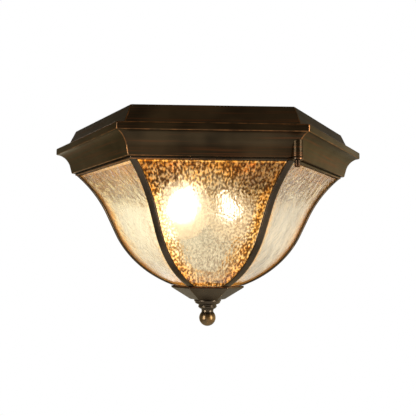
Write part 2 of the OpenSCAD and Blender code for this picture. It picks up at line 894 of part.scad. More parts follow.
module latch_screw() {
    top = -ring_bottom - seat;
    barrel = screw_head_h - screw_head_r;
    color("#4a3826")
        at_corner(latch_az, post_pos, 0)
            rotate_extrude($fn = 40)
                polygon(concat(
                    [
                        [0, -ear_top + screw_reach],
                        [screw_r - 0.5, -ear_top + screw_reach],
                        [screw_r, -ear_top + screw_reach - 0.5],
                        [screw_r, top],
                        [screw_head_r, top]
                    ],
                    [for (a = [0:15:90])
                        [screw_head_r * cos(a), top - barrel - screw_head_r * sin(a)]]
                ));
}

module snap_ring() {
    color("#b9b9b4")
        at_corner(latch_az, post_pos, -ear_top + snap_rise)
            difference() {
                cylinder(r = snap_r, h = snap_t, $fn = 40);
                translate([0, 0, -cut])
                    cylinder(r = screw_r + run_fit, h = snap_t + 2 * cut, $fn = 32);
            }
}

// Clips: two bent tabs behind the head of each panel, under the ring's flange
clip_w = 9;
clip_t = 0.9;
clip_drop = 8;
clip_side = 34;

module glass_clips() {
    in = glass_t + seat;
    color("#8d6d3c")
        for (k = [0:5])
            rotate([0, 0, 30 + 60 * k])
                for (side = [-1, 1])
                    translate([0, side * clip_side - clip_w / 2, 0])
                        intersection() {
                            translate([0, clip_w, 0])
                                rotate([90, 0, 0])
                                    linear_extrude(height = clip_w)
                                        polygon(clip_line(in));
                            translate([0, 0, -glass_top - clip_drop])
                                cube([far, clip_w, glass_top + clip_drop - ring_bottom]);
                        }
}

function clip_line(in) =
    let (
        face = [for (lean = steps(top_lean, mid_lean, 7)) on_flare(lean, in)],
        back = [for (lean = steps(top_lean, mid_lean, 7)) on_flare(lean, in + clip_t)],
        foot = back[1][0] - 5
    )
    concat(
        [for (p = face) [p[0], p[1]]],
        [for (p = backwards(back)) if (p[1] < -ring_bottom - clip_t) [p[0], p[1]]],
        [
            [back[1][0] - 1, -ring_bottom - clip_t],
            [foot, -ring_bottom - clip_t],
            [foot, -ring_bottom + clip_t]
        ]
    );

// Foot of the cage
base_top = glass_foot + seat;
base_bottom = base_top + base_t;
cap_r = corner_of(foot_a) + cap_cover;
cap_top = base_top + seat;
cap_ledge = base_bottom + seat;
cap_bottom = cap_top + cap_rim_h + cap_drop;
base_r = cap_r - corner_of(cap_wall + seat);
finial_top = cap_bottom + seat;
foot_stud_top = base_top - 9;
foot_stud_end = finial_top + 9;

module base_plate() {
    color("#33271e")
        difference() {
            hex_prism(base_r, -base_top, -base_bottom);
            translate([0, 0, -base_bottom - cut])
                cylinder(r = foot_stud_r + run_fit, h = base_t + 2 * cut, $fn = 24);
        }
}

module foot_stud() {
    color("#c9a55a")
        translate([0, 0, -foot_stud_end])
            cylinder(r = foot_stud_r, h = foot_stud_end - foot_stud_top, $fn = 32);
}

module foot_nut() {
    color("#b9b9b4")
        difference() {
            union() {
                translate([0, 0, -base_top + seat])
                    cylinder(r = 6.5, h = 1, $fn = 40);
                translate([0, 0, -base_top + seat + 1])
                    cylinder(r = 4.7, h = 4, $fn = 6);
            }
            translate([0, 0, -base_top])
                cylinder(r = foot_stud_r + run_fit, h = 8, $fn = 32);
        }
}

module foot_cap() {
    inner = cap_r - corner_of(cap_wall);
    color("#33271e")
        difference() {
            hex_form([
                [cap_r - 0.6, -cap_top],
                [cap_r, -cap_top - 0.6],
                [cap_r, -cap_top - cap_rim_h],
                [cap_end_r, -cap_bottom]
            ]);
            hex_form([
                [inner, -cap_top + cut],
                [inner, -cap_ledge],
                [inner - 3, -cap_ledge - 0.6],
                [cap_end_r - 3, -cap_bottom + cap_wall]
            ]);
            translate([0, 0, -cap_bottom - cut])
                cylinder(r = foot_stud_r + seat, h = 3 * cap_wall, $fn = 32);
        }
}

// Finial: disc, collar, neck and ball, turned from one bar
module finial() {
    ball_join = asin(neck_r / ball_r);
    ball_top = 13.1;
    ball_mid = ball_top + ball_r * cos(ball_join);
    color("#4a3220")
        translate([0, 0, -finial_top])
            difference() {
                rotate_extrude($fn = 64)
                    polygon(concat(
                        [
                            [0, 0],
                            [disc_r - 1.2, 0],
                            [disc_r - 0.4, -1],
                            [disc_r, -2.2],
                            [disc_r, -3.3],
                            [disc_r - 0.8, -4]
                        ],
                        [for (a = [0:30:90])
                            [collar_r + 2.6 - 2 * sin(a), -6 + 2 * cos(a)]],
                        [for (a = [90:-22.5:-90])
                            [collar_r - 1 + cos(a), -7.6 + 1.6 * sin(a)]],
                        [
                            [neck_r + 0.8, -9.6],
                            [neck_r, -10.8]
                        ],
                        [for (i = [0:16])
                            let (a = ball_join + (180 - ball_join) * i / 16)
                                [ball_r * sin(a), -ball_mid + ball_r * cos(a)]]
                    ));
                translate([0, 0, -10])
                    cylinder(r = foot_stud_r + seat, h = 10 + cut, $fn = 32);
            }
}

canopy();
crossbar();
canopy_studs();
lock_nuts();
cap_nuts();
ground_screw();
insulation_pad();
wire_bushing();
wire_nuts();
lamp_leads();
lamp_strap();
strap_screws();
holder_screws();
at_lamp(front_lamp_az) lampholder();  // holder_front
at_lamp(rear_lamp_az) lampholder();  // holder_rear
at_lamp(front_lamp_az) screw_shell();  // screw_shell_front
at_lamp(rear_lamp_az) screw_shell();  // screw_shell_rear
at_lamp(front_lamp_az) centre_contact();  // contact_front
at_lamp(rear_lamp_az) centre_contact();  // contact_rear
at_lamp(front_lamp_az) lamp_contact();  // lamp_contact_front
at_lamp(rear_lamp_az) lamp_contact();  // lamp_contact_rear
at_lamp(front_lamp_az) lamp_cap();  // lamp_cap_front
at_lamp(rear_lamp_az) lamp_cap();  // lamp_cap_rear
at_lamp(front_lamp_az) lamp_bulb();  // lamp_bulb_front
at_lamp(rear_lamp_az) lamp_bulb();  // lamp_bulb_rear
cage_ring();
hinge_pin();
latch_screw();
snap_ring();
rib(0);  // rib_right
rib(60);  // rib_back_right
rib(120);  // rib_back_left
rib(180);  // rib_left
rib(240);  // rib_front_left
rib(300);  // rib_front_right
glass(30);  // glass_back_right
glass(90);  // glass_back
glass(150);  // glass_back_left
glass(210);  // glass_front_left
glass(270);  // glass_front
glass(330);  // glass_front_right
glass_clips();
base_plate();
foot_stud();
foot_nut();
foot_cap();
finial();
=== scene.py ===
import json
import math

import bpy
import bmesh
from mathutils import Matrix, Vector, noise


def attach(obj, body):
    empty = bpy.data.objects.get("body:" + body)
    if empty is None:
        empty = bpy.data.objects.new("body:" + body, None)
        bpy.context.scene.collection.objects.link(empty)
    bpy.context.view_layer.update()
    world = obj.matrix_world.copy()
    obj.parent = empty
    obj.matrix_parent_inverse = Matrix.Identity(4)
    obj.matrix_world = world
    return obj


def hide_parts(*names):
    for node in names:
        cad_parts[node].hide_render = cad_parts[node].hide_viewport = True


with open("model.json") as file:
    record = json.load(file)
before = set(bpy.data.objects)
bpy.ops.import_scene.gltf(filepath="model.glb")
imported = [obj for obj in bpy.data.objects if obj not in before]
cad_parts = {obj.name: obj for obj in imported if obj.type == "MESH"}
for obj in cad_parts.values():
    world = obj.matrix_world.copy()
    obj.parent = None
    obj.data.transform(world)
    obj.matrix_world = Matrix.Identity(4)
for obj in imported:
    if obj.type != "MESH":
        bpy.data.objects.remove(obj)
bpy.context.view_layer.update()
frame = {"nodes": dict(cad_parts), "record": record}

MM = 0.001
COS30 = math.cos(math.radians(30))
TAN30 = math.tan(math.radians(30))
# Turns what rises in a piece's own frame into a depth
MIRRORED = Matrix.Scale(-1, 4, (0, 0, 1))

# Canopy, by corner radius and depth below the ceiling
LIP_R = 165
LEDGE_R = 154
CEILING_R = 144.5
FOOT_R = 148
UPPER_H = 19
LIP_BOTTOM = 26
CANOPY_H = 46
COVE_R = 18
COVE_SET = 2
COVE_LEANS = (14, 71)
CANOPY_WALL = 2.5
RECESS_H = 11.5
PLATE_BOTTOM = 14
WIRE_HOLE_R = 11

# Latch at the front right corner, hinge at the back left corner
LATCH_AZ = 300
HINGE_AZ = 120
POST_POS = 148.6
POST_R = 5.2
POST_TOP = 28
SHANK_WAY_R = 2.3
SHANK_WAY_TOP = 30
SNAP_WAY_R = 3
SNAP_WAY_TOP = 35.6
SHANK_L = 15.5
HEAD_R = 2.65
HEAD_GROOVE_R = 2.3
HEAD_H = 6.1
HINGE_POS = 149.5
HINGE_DEPTH = 51.5
KNUCKLE_R = 3.4
LUG_W = 7
EAR_W = 4
KNUCKLE_GAP = 0.4
KNUCKLE_ARM = 14
PIN_R = 1.5
SCREW_R = 1.7
EASE = 0.05

# Cage ring
RING_R = 143.96
RING_TOP = 39.5
RING_BOTTOM = 48.3
EAR_TOP = 46.5
RING_WALL = 1.8
FLANGE_W = 13

# Bell of glass and ribs: a flare, a straight and a bowl, across the flats
GLASS_T = 3
GLASS_TOP = 48.6
BELL_TOP_A = RING_R * COS30 - 1
TOP_LEAN = math.radians(46.7)
MID_LEAN = math.radians(22.6)
FOOT_LEAN = math.radians(68.5)
FLARE_R = 127.5
STRAIGHT_L = 21.2
BOWL_R = 99.5
GLASS_FOOT = 163.7
GLASS_CLEAR = 1.3
RIB_W = 7.2
RIB_PROUD = 1.5
RIB_EDGE = 1
RIB_WEB = 2
WEB_DEPTH = 5
SEAT = 0.3

# Foot cap and finial
CAP_R = 38.9
CAP_TOP = 164.3
CAP_RIM_H = 2
CAP_BOTTOM = 178.8
CAP_END_R = 18.5
CAP_HOLE_R = 3.4
CAP_WALL = 1.6
FINIAL_TOP = 179.1
BALL_R = 8.8
BALL_NECK_R = 6.3
BALL_NECK_END = 13.1

# Lamps: azimuth of each, tilt below level, the lampholder's back, and along the lamp its tip, the
# middle of its globe and its screw
LAMPS = {"front": 240, "rear": 60}
LAMP_TILT = 55
HOLDER_OUT = 13
HOLDER_DROP = 24.7
LAMP_TIP = 4.3
BULB_R = 30
BULB_S = 71.5
BULB_WALL = 1
NECK_BEND_R = 40
CAP_SCREW_R = 13
CAP_SCREW_L = 25
THREAD_PITCH = 3.629
THREAD_H = 0.8

# What burns in each lamp: its radius, its stem's radius, and where the stem starts
CORE_R = {"front": 13, "rear": 9}
CORE_STEM_R = 4
CORE_S = 44

# Painted glow of lamplight on the glass: the share that a sheet scatters, and how bright each lamp is
SCATTER = 0.55
GLOW = {"front": 1, "rear": 0.6}

# The glass: how far the ribs lap over its dark border, how much wider that is below the canopy,
# where the widening is painted shade of the canopy, and at the foot, how far down the folds reach,
# the share of seeds beside them, and its slow waves, which fade out towards the edges
FRAME_LAP = 2.4
TOP_SHADE = 3
FOOT_SHADE = 1.6
FOLD_REACH = 26
FEW_SEEDS = 0.12
GLASS_WAVE = 13
GLASS_WAVE_H = 0.35
WAVE_FADE = 6
# Keeps the sheets off the noise's whole numbers, where it turns regular
OFF_LATTICE = 3.5

# Wool pad in the recess, with its lumps and tufts, and clear holes for the canopy's studs
PAD_INNER = 52.4
PAD_OUTER = 103.6
PAD_TOP = 6
PAD_BOTTOM = 11.2
PAD_RAGGED = 1.6
PAD_LUMP = 14
PAD_TUFT = 4
PAD_LIFT = 0.3
PAD_FRAY = 3
PAD_FRAY_H = 0.7
STUD_OUT = 62
STUD_CLEAR = 6.2

# Leads: the corners of a lead's route as (out, across, height), and the nuts that join them
LEAD_R = 1.1
LEAD_ROUTE = ((12.4, 2.5, -23.9), (9.8, 2.5, -20.2), (7.2, 2.6, -16.4), (5.6, 3.4, -12.6), (4.2, 6, -9.4),
              (2.8, 10, -7.5), (1.6, 14.5, -7), (1.6, 23, -7))
WIRE_NUT_Y = 20
WIRE_NUT_DEPTH = 7
WIRE_NUT_L = 15
FLUTES = 14
FLUTE_H = 0.44


def linear(colour):
    """An sRGB hex colour as linear RGBA."""
    parts = [int(colour[i:i + 2], 16) / 255 for i in (1, 3, 5)]
    return (*(c / 12.92 if c <= 0.04045 else ((c + 0.055) / 1.055) ** 2.4 for c in parts), 1)


def add(tree, kind, inputs=None, out=0, stops=(), **settings):
    """Adds a node and gives back one of its outputs. Inputs, by number or name, are values or the
    outputs that feed them. Stops are a colour ramp's, as (position, sRGB hex)."""
    made = tree.nodes.new("ShaderNode" + kind)
    for name, value in settings.items():
        setattr(made, name, value)
    for socket, value in (inputs or {}).items():
        if isinstance(value, bpy.types.NodeSocket):
            tree.links.new(value, made.inputs[socket])
        else:
            made.inputs[socket].default_value = value
    for _ in stops[2:]:
        made.color_ramp.elements.new(0.5)
    if stops:
        for element, (position, colour) in zip(made.color_ramp.elements, stops):
            element.position = position
            element.color = linear(colour)
    return made.outputs[out]


def finish(name, **sockets):
    """A new material: itself, its node tree, its shader, and its surface's place in millimetres."""
    material = bpy.data.materials.new(name)
    material.use_nodes = True
    tree = material.node_tree
    shader = tree.nodes["Principled BSDF"]
    for socket, value in sockets.items():
        shader.inputs[socket.replace("_", " ")].default_value = value
    place = add(tree, "VectorMath", {0: add(tree, "TexCoord", out="Object"), 1: (1 / MM,) * 3},
                operation="MULTIPLY")
    return material, tree, shader, place


# Sizes of what shows in each finish, in mm
DYE_CLOUD = 38
BRUSH_MARK = 1.7
RUB_PATCH = 9
SEED = 2
DIMPLE = 2.8
RIPPLE = 2.4
SWIRL = 15
BORDER_DRIFT = 22
BORDER_MOTTLE = 3
GLASS_RELIEF = 0.11
FROST_PATCH = 6
FLICKER = 4
FOLDS_PER_SWIRL = 58
# Which way brush marks run: the axes along which their noise is drawn out
LEVEL = (0.02, 0.02, 1)
UPRIGHT = (1, 1, 0.03)


def rubbed_bronze(name, shadow, brown, red, copper, rough, brushing=LEVEL):
    """Oil-rubbed bronze: metal plated with copper, dyed nearly black, brushed and oiled, then rubbed
    by hand. The dye gives soft clouds and the brush long reddish streaks that stretch each highlight.
    The rubbing brings the copper out in thin broken lines, where the mesh's wear value is high."""
    material, tree, shader, place = finish(name, Metallic=0.95, Coat_Weight=0.03, Coat_Roughness=0.22)
    shader.inputs["Specular Tint"].default_value = linear("#CEC5B4")
    clouds = add(tree, "TexNoise", {"Vector": place, "Scale": 1 / DYE_CLOUD, "Detail": 2})
    # Real brush marks are a tenth of a millimetre wide; these are drawn coarse enough to show
    strokes = add(tree, "VectorMath", {0: place, 1: brushing}, operation="MULTIPLY")
    brushed = add(tree, "TexNoise",
                  {"Vector": strokes, "Scale": 1 / BRUSH_MARK, "Detail": 4, "Roughness": 0.6})
    body = add(tree, "ValToRGB", {0: clouds}, stops=((0.34, shadow), (0.66, brown)))
    reddened = add(tree, "MapRange", {0: brushed, 1: 0.5, 2: 0.75, 4: 0.75})
    body = add(tree, "Mix", {0: reddened, 6: body, 7: linear(red)}, out=2, data_type="RGBA")
    wear = add(tree, "Attribute", out="Fac", attribute_name="wear")
    patchy = add(tree, "TexNoise", {"Vector": place, "Scale": 1 / RUB_PATCH, "Detail": 4, "Roughness": 0.65})
    rubbed = add(tree, "Math", {0: wear, 1: patchy}, operation="MULTIPLY")
    rubbed = add(tree, "MapRange", {0: rubbed, 1: 0.19, 2: 0.52})
    body = add(tree, "Mix", {0: rubbed, 6: body, 7: linear(copper)}, out=2, data_type="RGBA")
    tree.links.new(body, shader.inputs["Base Color"])
    gloss = add(tree, "MapRange", {0: brushed, 1: 0.25, 2: 0.8, 3: rough - 0.07, 4: rough + 0.12})
    tree.links.new(gloss, shader.inputs["Roughness"])
    bump = add(tree, "Bump", {"Height": brushed, "Distance": 0.04 * MM, "Strength": 0.5})
    tree.links.new(bump, shader.inputs["Normal"])
    return material


def glass_border(tree, sheet, border, lamplight):
    """How far in mm a place counts as inside the border, whose limit drifts. It comes back twice,
    the second time mottled, and pushed towards the clear inside near a lamp: painted lamplight that pales the
    tint."""
    drift = add(tree, "TexNoise", {"Vector": sheet, "Scale": 1 / BORDER_DRIFT, "Detail": 2})
    drift = add(tree, "MapRange", {0: drift, 1: 0.3, 2: 0.7, 3: -2.5, 4: 2.5})
    inside = add(tree, "Math", {0: border, 1: drift}, operation="ADD")
    mottle = add(tree, "TexNoise", {"Vector": sheet, "Scale": 1 / BORDER_MOTTLE, "Detail": 2})
    mottle = add(tree, "MapRange", {0: mottle, 1: 0.35, 2: 0.65, 3: -3, 4: 3})
    zone = add(tree, "Math", {0: inside, 1: mottle}, operation="ADD")
    # Painted lamplight: near a lamp the zone is pushed towards the pale clear inside
    painted_lamp_wash = add(tree, "MapRange", {0: lamplight, 1: 0.14, 2: 0.34, 4: 9})
    return inside, add(tree, "Math", {0: painted_lamp_wash, 1: zone}, operation="ADD")


def dark_seeds(tree, specks, inside, seeded, lamplight):
    """Seeds as dark specks, thickest along the border, and faded near a lamp as painted lamplight."""
    dark = add(tree, "MapRange", {0: specks, 1: 0.5, 2: 0.45})
    crowded = add(tree, "MapRange", {0: inside, 1: 4, 2: 14, 3: 0.95, 4: 0.42})
    dark = add(tree, "Math", {0: dark, 1: crowded}, operation="MULTIPLY")
    dark = add(tree, "Math", {0: dark, 1: seeded}, operation="MULTIPLY")
    # Painted lamplight: the dark seeds fade near a lamp
    shown = add(tree, "MapRange", {0: lamplight, 1: 0.14, 2: 0.28, 3: 1, 4: 0.08})
    return add(tree, "Math", {0: dark, 1: shown}, operation="MULTIPLY")


def drawn_folds(tree, sheet, drawn):
    """Folds as curved silky streaks: the level lines of a slow noise."""
    wide = add(tree, "VectorMath", {0: sheet, 1: (1, 0.6, 1)}, operation="MULTIPLY")
    swirl = add(tree, "TexNoise", {"Vector": wide, "Scale": 1 / SWIRL, "Detail": 1})
    swirl = add(tree, "Math", {0: swirl, 1: FOLDS_PER_SWIRL}, operation="MULTIPLY")
    fold = add(tree, "Math", {0: swirl}, operation="SINE")
    fold = add(tree, "MapRange", {0: fold, 1: -0.4})
    return add(tree, "Math", {0: fold, 1: drawn}, operation="MULTIPLY")


def rolled_relief(tree, sheet, fold):
    """The rolled face: dimples, fine seeds, long ripples and the folds."""
    relief = add(tree, "TexVoronoi", {"Vector": sheet, "Scale": 1 / DIMPLE, "Smoothness": 0.4},
                 out="Distance", feature="SMOOTH_F1")
    seeds = add(tree, "TexNoise", {"Vector": sheet, "Scale": 1.25 / SEED, "Detail": 2})
    relief = add(tree, "Math", {0: relief, 1: 1.2, 2: seeds}, operation="MULTIPLY_ADD")
    long = add(tree, "VectorMath", {0: sheet, 1: (1, 0.14, 1)}, operation="MULTIPLY")
    ripples = add(tree, "TexNoise", {"Vector": long, "Scale": 1 / RIPPLE, "Detail": 2})
    relief = add(tree, "Math", {0: ripples, 1: 1.2, 2: relief}, operation="MULTIPLY_ADD")
    relief = add(tree, "Math", {0: fold, 1: 4, 2: relief}, operation="MULTIPLY_ADD")
    return add(tree, "Bump", {"Height": relief, "Distance": GLASS_RELIEF * MM, "Strength": 1})


def seeded_glass():
    """Champagne glass, rolled with seeds and dimples, cut to shape and bent hot over a mould. The
    relief breaks up what shows through it. The border, where the sheet sagged thicker, is a deeper
    amber and full of dark seeds; below the canopy it is widened as painted shade of the canopy. Near
    a lamp the seeds and the tint are paled as painted lamplight, and the sheet gives off a painted glow
    of lamplight. The sheets beside the front and back ones have few seeds, and folds near the canopy
    where they were drawn over the mould."""
    material, tree, shader, _ = finish("seeded_champagne_glass", Roughness=0.06, IOR=1.5,
                                       Specular_IOR_Level=0.2, Transmission_Weight=1)
    shader.inputs["Specular Tint"].default_value = linear("#D8984C")
    sheet = add(tree, "Attribute", out="Vector", attribute_name="sheet")
    border, seeded, drawn, lamplight = (add(tree, "Attribute", out="Fac", attribute_name=name)
                                        for name in ("border", "seeded", "drawn", "lamplight"))
    inside, zone = glass_border(tree, sheet, border, lamplight)
    specks = add(tree, "TexNoise", {"Vector": sheet, "Scale": 1 / SEED, "Detail": 1})
    dark = dark_seeds(tree, specks, inside, seeded, lamplight)
    fold = drawn_folds(tree, sheet, drawn)
    ground = add(tree, "MapRange", {0: border, 1: 0.5, 2: 0.2})
    tree.links.new(rolled_relief(tree, sheet, fold), shader.inputs["Normal"])

    # Tint: the border, widened below the canopy as painted shade, and the clear inside, then the seeds,
    # the drawn part and its folds, and last the ground edge, which catches the light
    zone_share = add(tree, "MapRange", {0: zone, 1: -2, 2: 12})
    tint = add(tree, "ValToRGB", {0: zone_share},
               stops=((0, "#BC8426"), (0.35, "#E4B05A"), (0.65, "#EDD6A6"), (0.9, "#F0E8D2")))
    pale = add(tree, "MapRange", {0: drawn, 4: 0.75})
    shade = add(tree, "MapRange", {0: fold, 4: 0.6})
    for share, colour in ((dark, "#6A3608"), (pale, "#FCF6D0"), (shade, "#B48C40"), (ground, "#FFF1D8")):
        tint = add(tree, "Mix", {0: share, 6: tint, 7: linear(colour)}, out=2, data_type="RGBA")
    tree.links.new(tint, shader.inputs["Base Color"])

    # Painted glow: lamplight that the sheet scatters, given off as emission: most where it is seen
    # edge on, in bright seeds, in the border and in the ground edge, and least in the dark seeds
    glow = add(tree, "LayerWeight", out="Facing")
    # Painted glints in the bright seeds
    bright = add(tree, "MapRange", {0: specks, 1: 0.53, 2: 0.58, 4: 4})
    crowded = add(tree, "MapRange", {0: inside, 1: 4, 2: 14, 3: 1, 4: 0.03})
    bright = add(tree, "Math", {0: bright, 1: crowded}, operation="MULTIPLY")
    glow = add(tree, "Math", {0: bright, 1: seeded, 2: glow}, operation="MULTIPLY_ADD")
    # Painted glow in the amber border
    amber = add(tree, "MapRange", {0: zone, 1: 14, 2: -2, 4: 0.9})
    glow = add(tree, "Math", {0: amber, 1: glow}, operation="ADD")
    # Painted highlight along the ground edge
    glow = add(tree, "Math", {0: ground, 1: 0.4, 2: glow}, operation="MULTIPLY_ADD")
    clear = add(tree, "MapRange", {0: dark, 2: 0.9, 3: 1, 4: 0.25})
    for share in (lamplight, clear):
        glow = add(tree, "Math", {0: glow, 1: share}, operation="MULTIPLY")
    tree.links.new(glow, shader.inputs["Emission Strength"])
    # The painted glow's colour, deeper amber in the border
    zone_share = add(tree, "MapRange", {0: zone, 1: -2, 2: 14})
    colour = add(tree, "ValToRGB", {0: zone_share}, stops=((0, "#FFA838"), (0.5, "#FFD08A"), (1, "#FFE2B4")))
    tree.links.new(colour, shader.inputs["Emission Color"])
    return material


def lit_bulb(side, strength):
    """Lamp glass, frosted inside with acid: the etching spreads the light of what burns within, so
    that the whole bulb glows cream and its outline stays soft."""
    material, tree, shader, place = finish(f"{side}_frosted_lamp_glass_lit", Roughness=0.35, IOR=1.5,
                                           Transmission_Weight=1)
    shader.inputs["Base Color"].default_value = linear("#F8F4EF")
    along = add(tree, "Attribute", out="Fac", attribute_name="along")
    glow = add(tree, "ValToRGB", {0: along}, stops=((0.1, "#F4DEB8"), (0.45, "#F8E4C4"), (0.8, "#FAECD4")))
    # The frosting is a fine powder; its unevenness is drawn far coarser than its grain
    frost = add(tree, "TexNoise", {"Vector": place, "Scale": 1 / FROST_PATCH, "Detail": 3})
    frost = add(tree, "MapRange", {0: frost, 1: 0.3, 2: 0.7, 4: 0.25})
    glow = add(tree, "Mix", {0: frost, 6: glow, 7: linear("#F6E2C4")}, out=2, data_type="RGBA")
    tree.links.new(glow, shader.inputs["Emission Color"])
    power = add(tree, "MapRange", {0: along, 1: 0.05, 2: 0.6, 3: 0.36 * strength, 4: 0.3 * strength})
    tree.links.new(power, shader.inputs["Emission Strength"])
    return material


def burning_core(side, strength):
    """What burns in the lamp, too bright to show its form, so it is drawn as one white-hot body."""
    material, tree, shader, place = finish(f"{side}_lamp_core_alight", Roughness=0.6)
    flicker = add(tree, "TexNoise", {"Vector": place, "Scale": 1 / FLICKER, "Detail": 2})
    glow = add(tree, "ValToRGB", {0: flicker}, stops=((0.3, "#FFF9F0"), (0.7, "#FFFFFF")))
    tree.links.new(glow, shader.inputs["Emission Color"])
    shader.inputs["Emission Strength"].default_value = strength
    return material


def plain_finish(name, colour, second, grain_size, rough, depth=0.03, **sockets):
    """A workaday finish: two close colours, a roughness and a faint relief that follow one grain,
    whose size and depth are in mm."""
    material, tree, shader, place = finish(name, **sockets)
    grain = add(tree, "TexNoise", {"Vector": place, "Scale": 1 / grain_size, "Detail": 4})
    body = add(tree, "ValToRGB", {0: grain}, stops=((0.35, colour), (0.65, second)))
    tree.links.new(body, shader.inputs["Base Color"])
    gloss = add(tree, "MapRange", {0: grain, 1: 0.3, 2: 0.7, 3: rough * 0.8, 4: rough * 1.2})
    tree.links.new(gloss, shader.inputs["Roughness"])
    bump = add(tree, "Bump", {"Height": grain, "Distance": depth * MM, "Strength": 0.6})
    tree.links.new(bump, shader.inputs["Normal"])
    return material


FINISHES = {
    # Die cast, brushed round its mouldings: level streaks, and copper on the rubbed lips and corners
    "cast_bronze": rubbed_bronze("oil_rubbed_bronze_casting", "#211A10", "#3B3020", "#56321A", "#AC7444",
                                 0.32),
    # Pressed steel, plated and brushed along the ribs: smoother and a little paler than the casting
    "bronze_cage": rubbed_bronze("oil_rubbed_bronze_steel", "#2C251D", "#443C31", "#4B3A28", "#A56E42",
                                 0.28, UPRIGHT),
    # Turned brass, polished before dyeing: small sharp highlights, golden brown on the ball
    "bronze_finial": rubbed_bronze("rubbed_bronze_turned", "#3A332A", "#5E5342", "#54432E", "#6E5430", 0.26),
    # Turned brass hardware from a dyeing barrel: dark, and rubbed on its heads by fingers
    "bronze_nuts": rubbed_bronze("bronzed_brass_hardware", "#231C14", "#38291C", "#4A2E1C", "#945C36", 0.26),
    "amber_glass": seeded_glass(),
    # Rolled from thin sheet: pale grey metal with a dull satin shine
    "lamp_cap_metal": plain_finish("rolled_aluminium_cap", "#C9C7BF", "#A9A8A1", 3, 0.32, Metallic=1),
    # Poured black glass round the lamp's contact: dark and glossy
    "black_glass": plain_finish("black_vitrite", "#1A1613", "#2A231D", 4, 0.2),
    # Pressed and glazed: warm white, with a wet shine and slow waves in the glaze
    "porcelain": plain_finish("glazed_porcelain", "#F0EBDF", "#E6DFD0", 22, 0.16),
    # Stamped brass: yellow metal, slightly dulled by handling
    "brass": plain_finish("plain_brass", "#C8A060", "#AE8446", 6, 0.3, Metallic=1),
    # Bright zinc on steel: cool grey with a spangle, drawn coarser than it is
    "zinc_steel": plain_finish("zinc_plated_steel", "#B9BAB8", "#9A9C9C", 5, 0.34, Metallic=1),
    # Zinc under a green dye, as ground screws have
    "green_screw": plain_finish("green_dyed_zinc", "#3F8A4A", "#2F6E3A", 3, 0.35, Metallic=0.8),
    # Matted glass fibre: dull yellow; tufts of a millimetre stand for fibres too fine to show
    "insulation": plain_finish("glass_fibre_wool", "#E3D79C", "#CDBB73", 1.2, 0.95, 0.6),
    # Moulded from nylon: black with the mould's fine satin
    "black_nylon": plain_finish("moulded_black_nylon", "#1B1B1C", "#232324", 1.5, 0.5),
    # Moulded from coloured plastic: even orange, half gloss
    "wire_nut_plastic": plain_finish("moulded_orange_plastic", "#D4762A", "#C96C22", 2, 0.42),
    # Braided glass yarn over the wire: off-white and dull, with the braid's small lumps
    "lead_jacket": plain_finish("glass_braid_sleeve", "#EDE8DA", "#CFC8B4", 0.5, 0.8, 0.1),
}
FROSTED = {"front": lit_bulb("front", 0.6), "rear": lit_bulb("rear", 0.5)}
BURNING = {"front": burning_core("front", 4), "rear": burning_core("rear", 3)}
# The canopy's inside, sprayed with gold lacquer that dried in drops: it throws warm flecks of light
# back. The lacquer is half metal powder and half varnish
INTERIOR = plain_finish("hammered_gold_lacquer", "#6A3A0C", "#FFC470", 4, 0.35, 0.6, Metallic=0.5)


def smooth(piece, sharp_angle=35):
    """Flats stay flat and roundings stay soft, by normals that lean to the larger face."""
    piece.data.shade_smooth()
    piece.data.set_sharp_from_angle(angle=math.radians(sharp_angle))
    weighted = piece.modifiers.new("weighted", "WEIGHTED_NORMAL")
    weighted.keep_sharp = True
    settle(piece)


def settle(piece):
    """Makes a piece's modifiers its mesh."""
    graph = bpy.context.evaluated_depsgraph_get()
    mesh = bpy.data.meshes.new_from_object(piece.evaluated_get(graph), preserve_all_data_layers=True,
                                           depsgraph=graph)
    piece.modifiers.clear()
    piece.data = mesh


def skin(name, rings, values=None, looped=False, label="wear"):
    """A closed mesh through rings of equally many points, in mm. The end rings are capped, or joined
    to each other when looped. Values give each point's wear, or another named measure."""
    size = len(rings[0])
    shape = bmesh.new()
    layer = shape.verts.layers.float.new(label)
    points = [[shape.verts.new(Vector(p) * MM) for p in ring] for ring in rings]
    if values:
        for ring, marks in zip(points, values):
            for point, mark in zip(ring, marks):
                point[layer] = mark
    for i in range(len(rings) if looped else len(rings) - 1):
        one, other = points[i], points[(i + 1) % len(rings)]
        for j in range(size):
            k = (j + 1) % size
            shape.faces.new((one[j], one[k], other[k], other[j]))
    if not looped:
        shape.faces.new(points[0][::-1])
        shape.faces.new(points[-1])
    bmesh.ops.remove_doubles(shape, verts=shape.verts, dist=1e-6)
    bmesh.ops.recalc_face_normals(shape, faces=shape.faces)
    mesh = bpy.data.meshes.new(name)
    shape.to_mesh(mesh)
    shape.free()
    piece = bpy.data.objects.new(name, mesh)
    bpy.context.scene.collection.objects.link(piece)
    return piece


def rounded(corners, looped=False, steps=5):
    """A profile with rounded corners. Each corner is (out, depth, radius, wear at the rounding's
    middle); the profile comes back as (out, depth, wear) points."""
    line = []
    for i, (out, depth, radius, wear) in enumerate(corners):
        if radius == 0 or (not looped and i in (0, len(corners) - 1)):
            line.append((out, depth, 0))
            continue
        here = Vector((out, depth))
        back = (Vector(corners[i - 1][:2]) - here).normalized()
        on = (Vector(corners[(i + 1) % len(corners)][:2]) - here).normalized()
        half = back.angle(on) / 2
        middle = here + (back + on).normalized() * radius / math.sin(half)
        start = here + back * radius / math.tan(half) - middle
        end = here + on * radius / math.tan(half) - middle
        turn = math.atan2(start.cross(end), start.dot(end))
        for k in range(steps + 1):
            spoke = Matrix.Rotation(turn * k / steps, 2) @ start
            line.append((middle.x + spoke.x, middle.y + spoke.y, wear * math.sin(math.pi * k / steps)))
    return line


CORNER_STEPS = 6


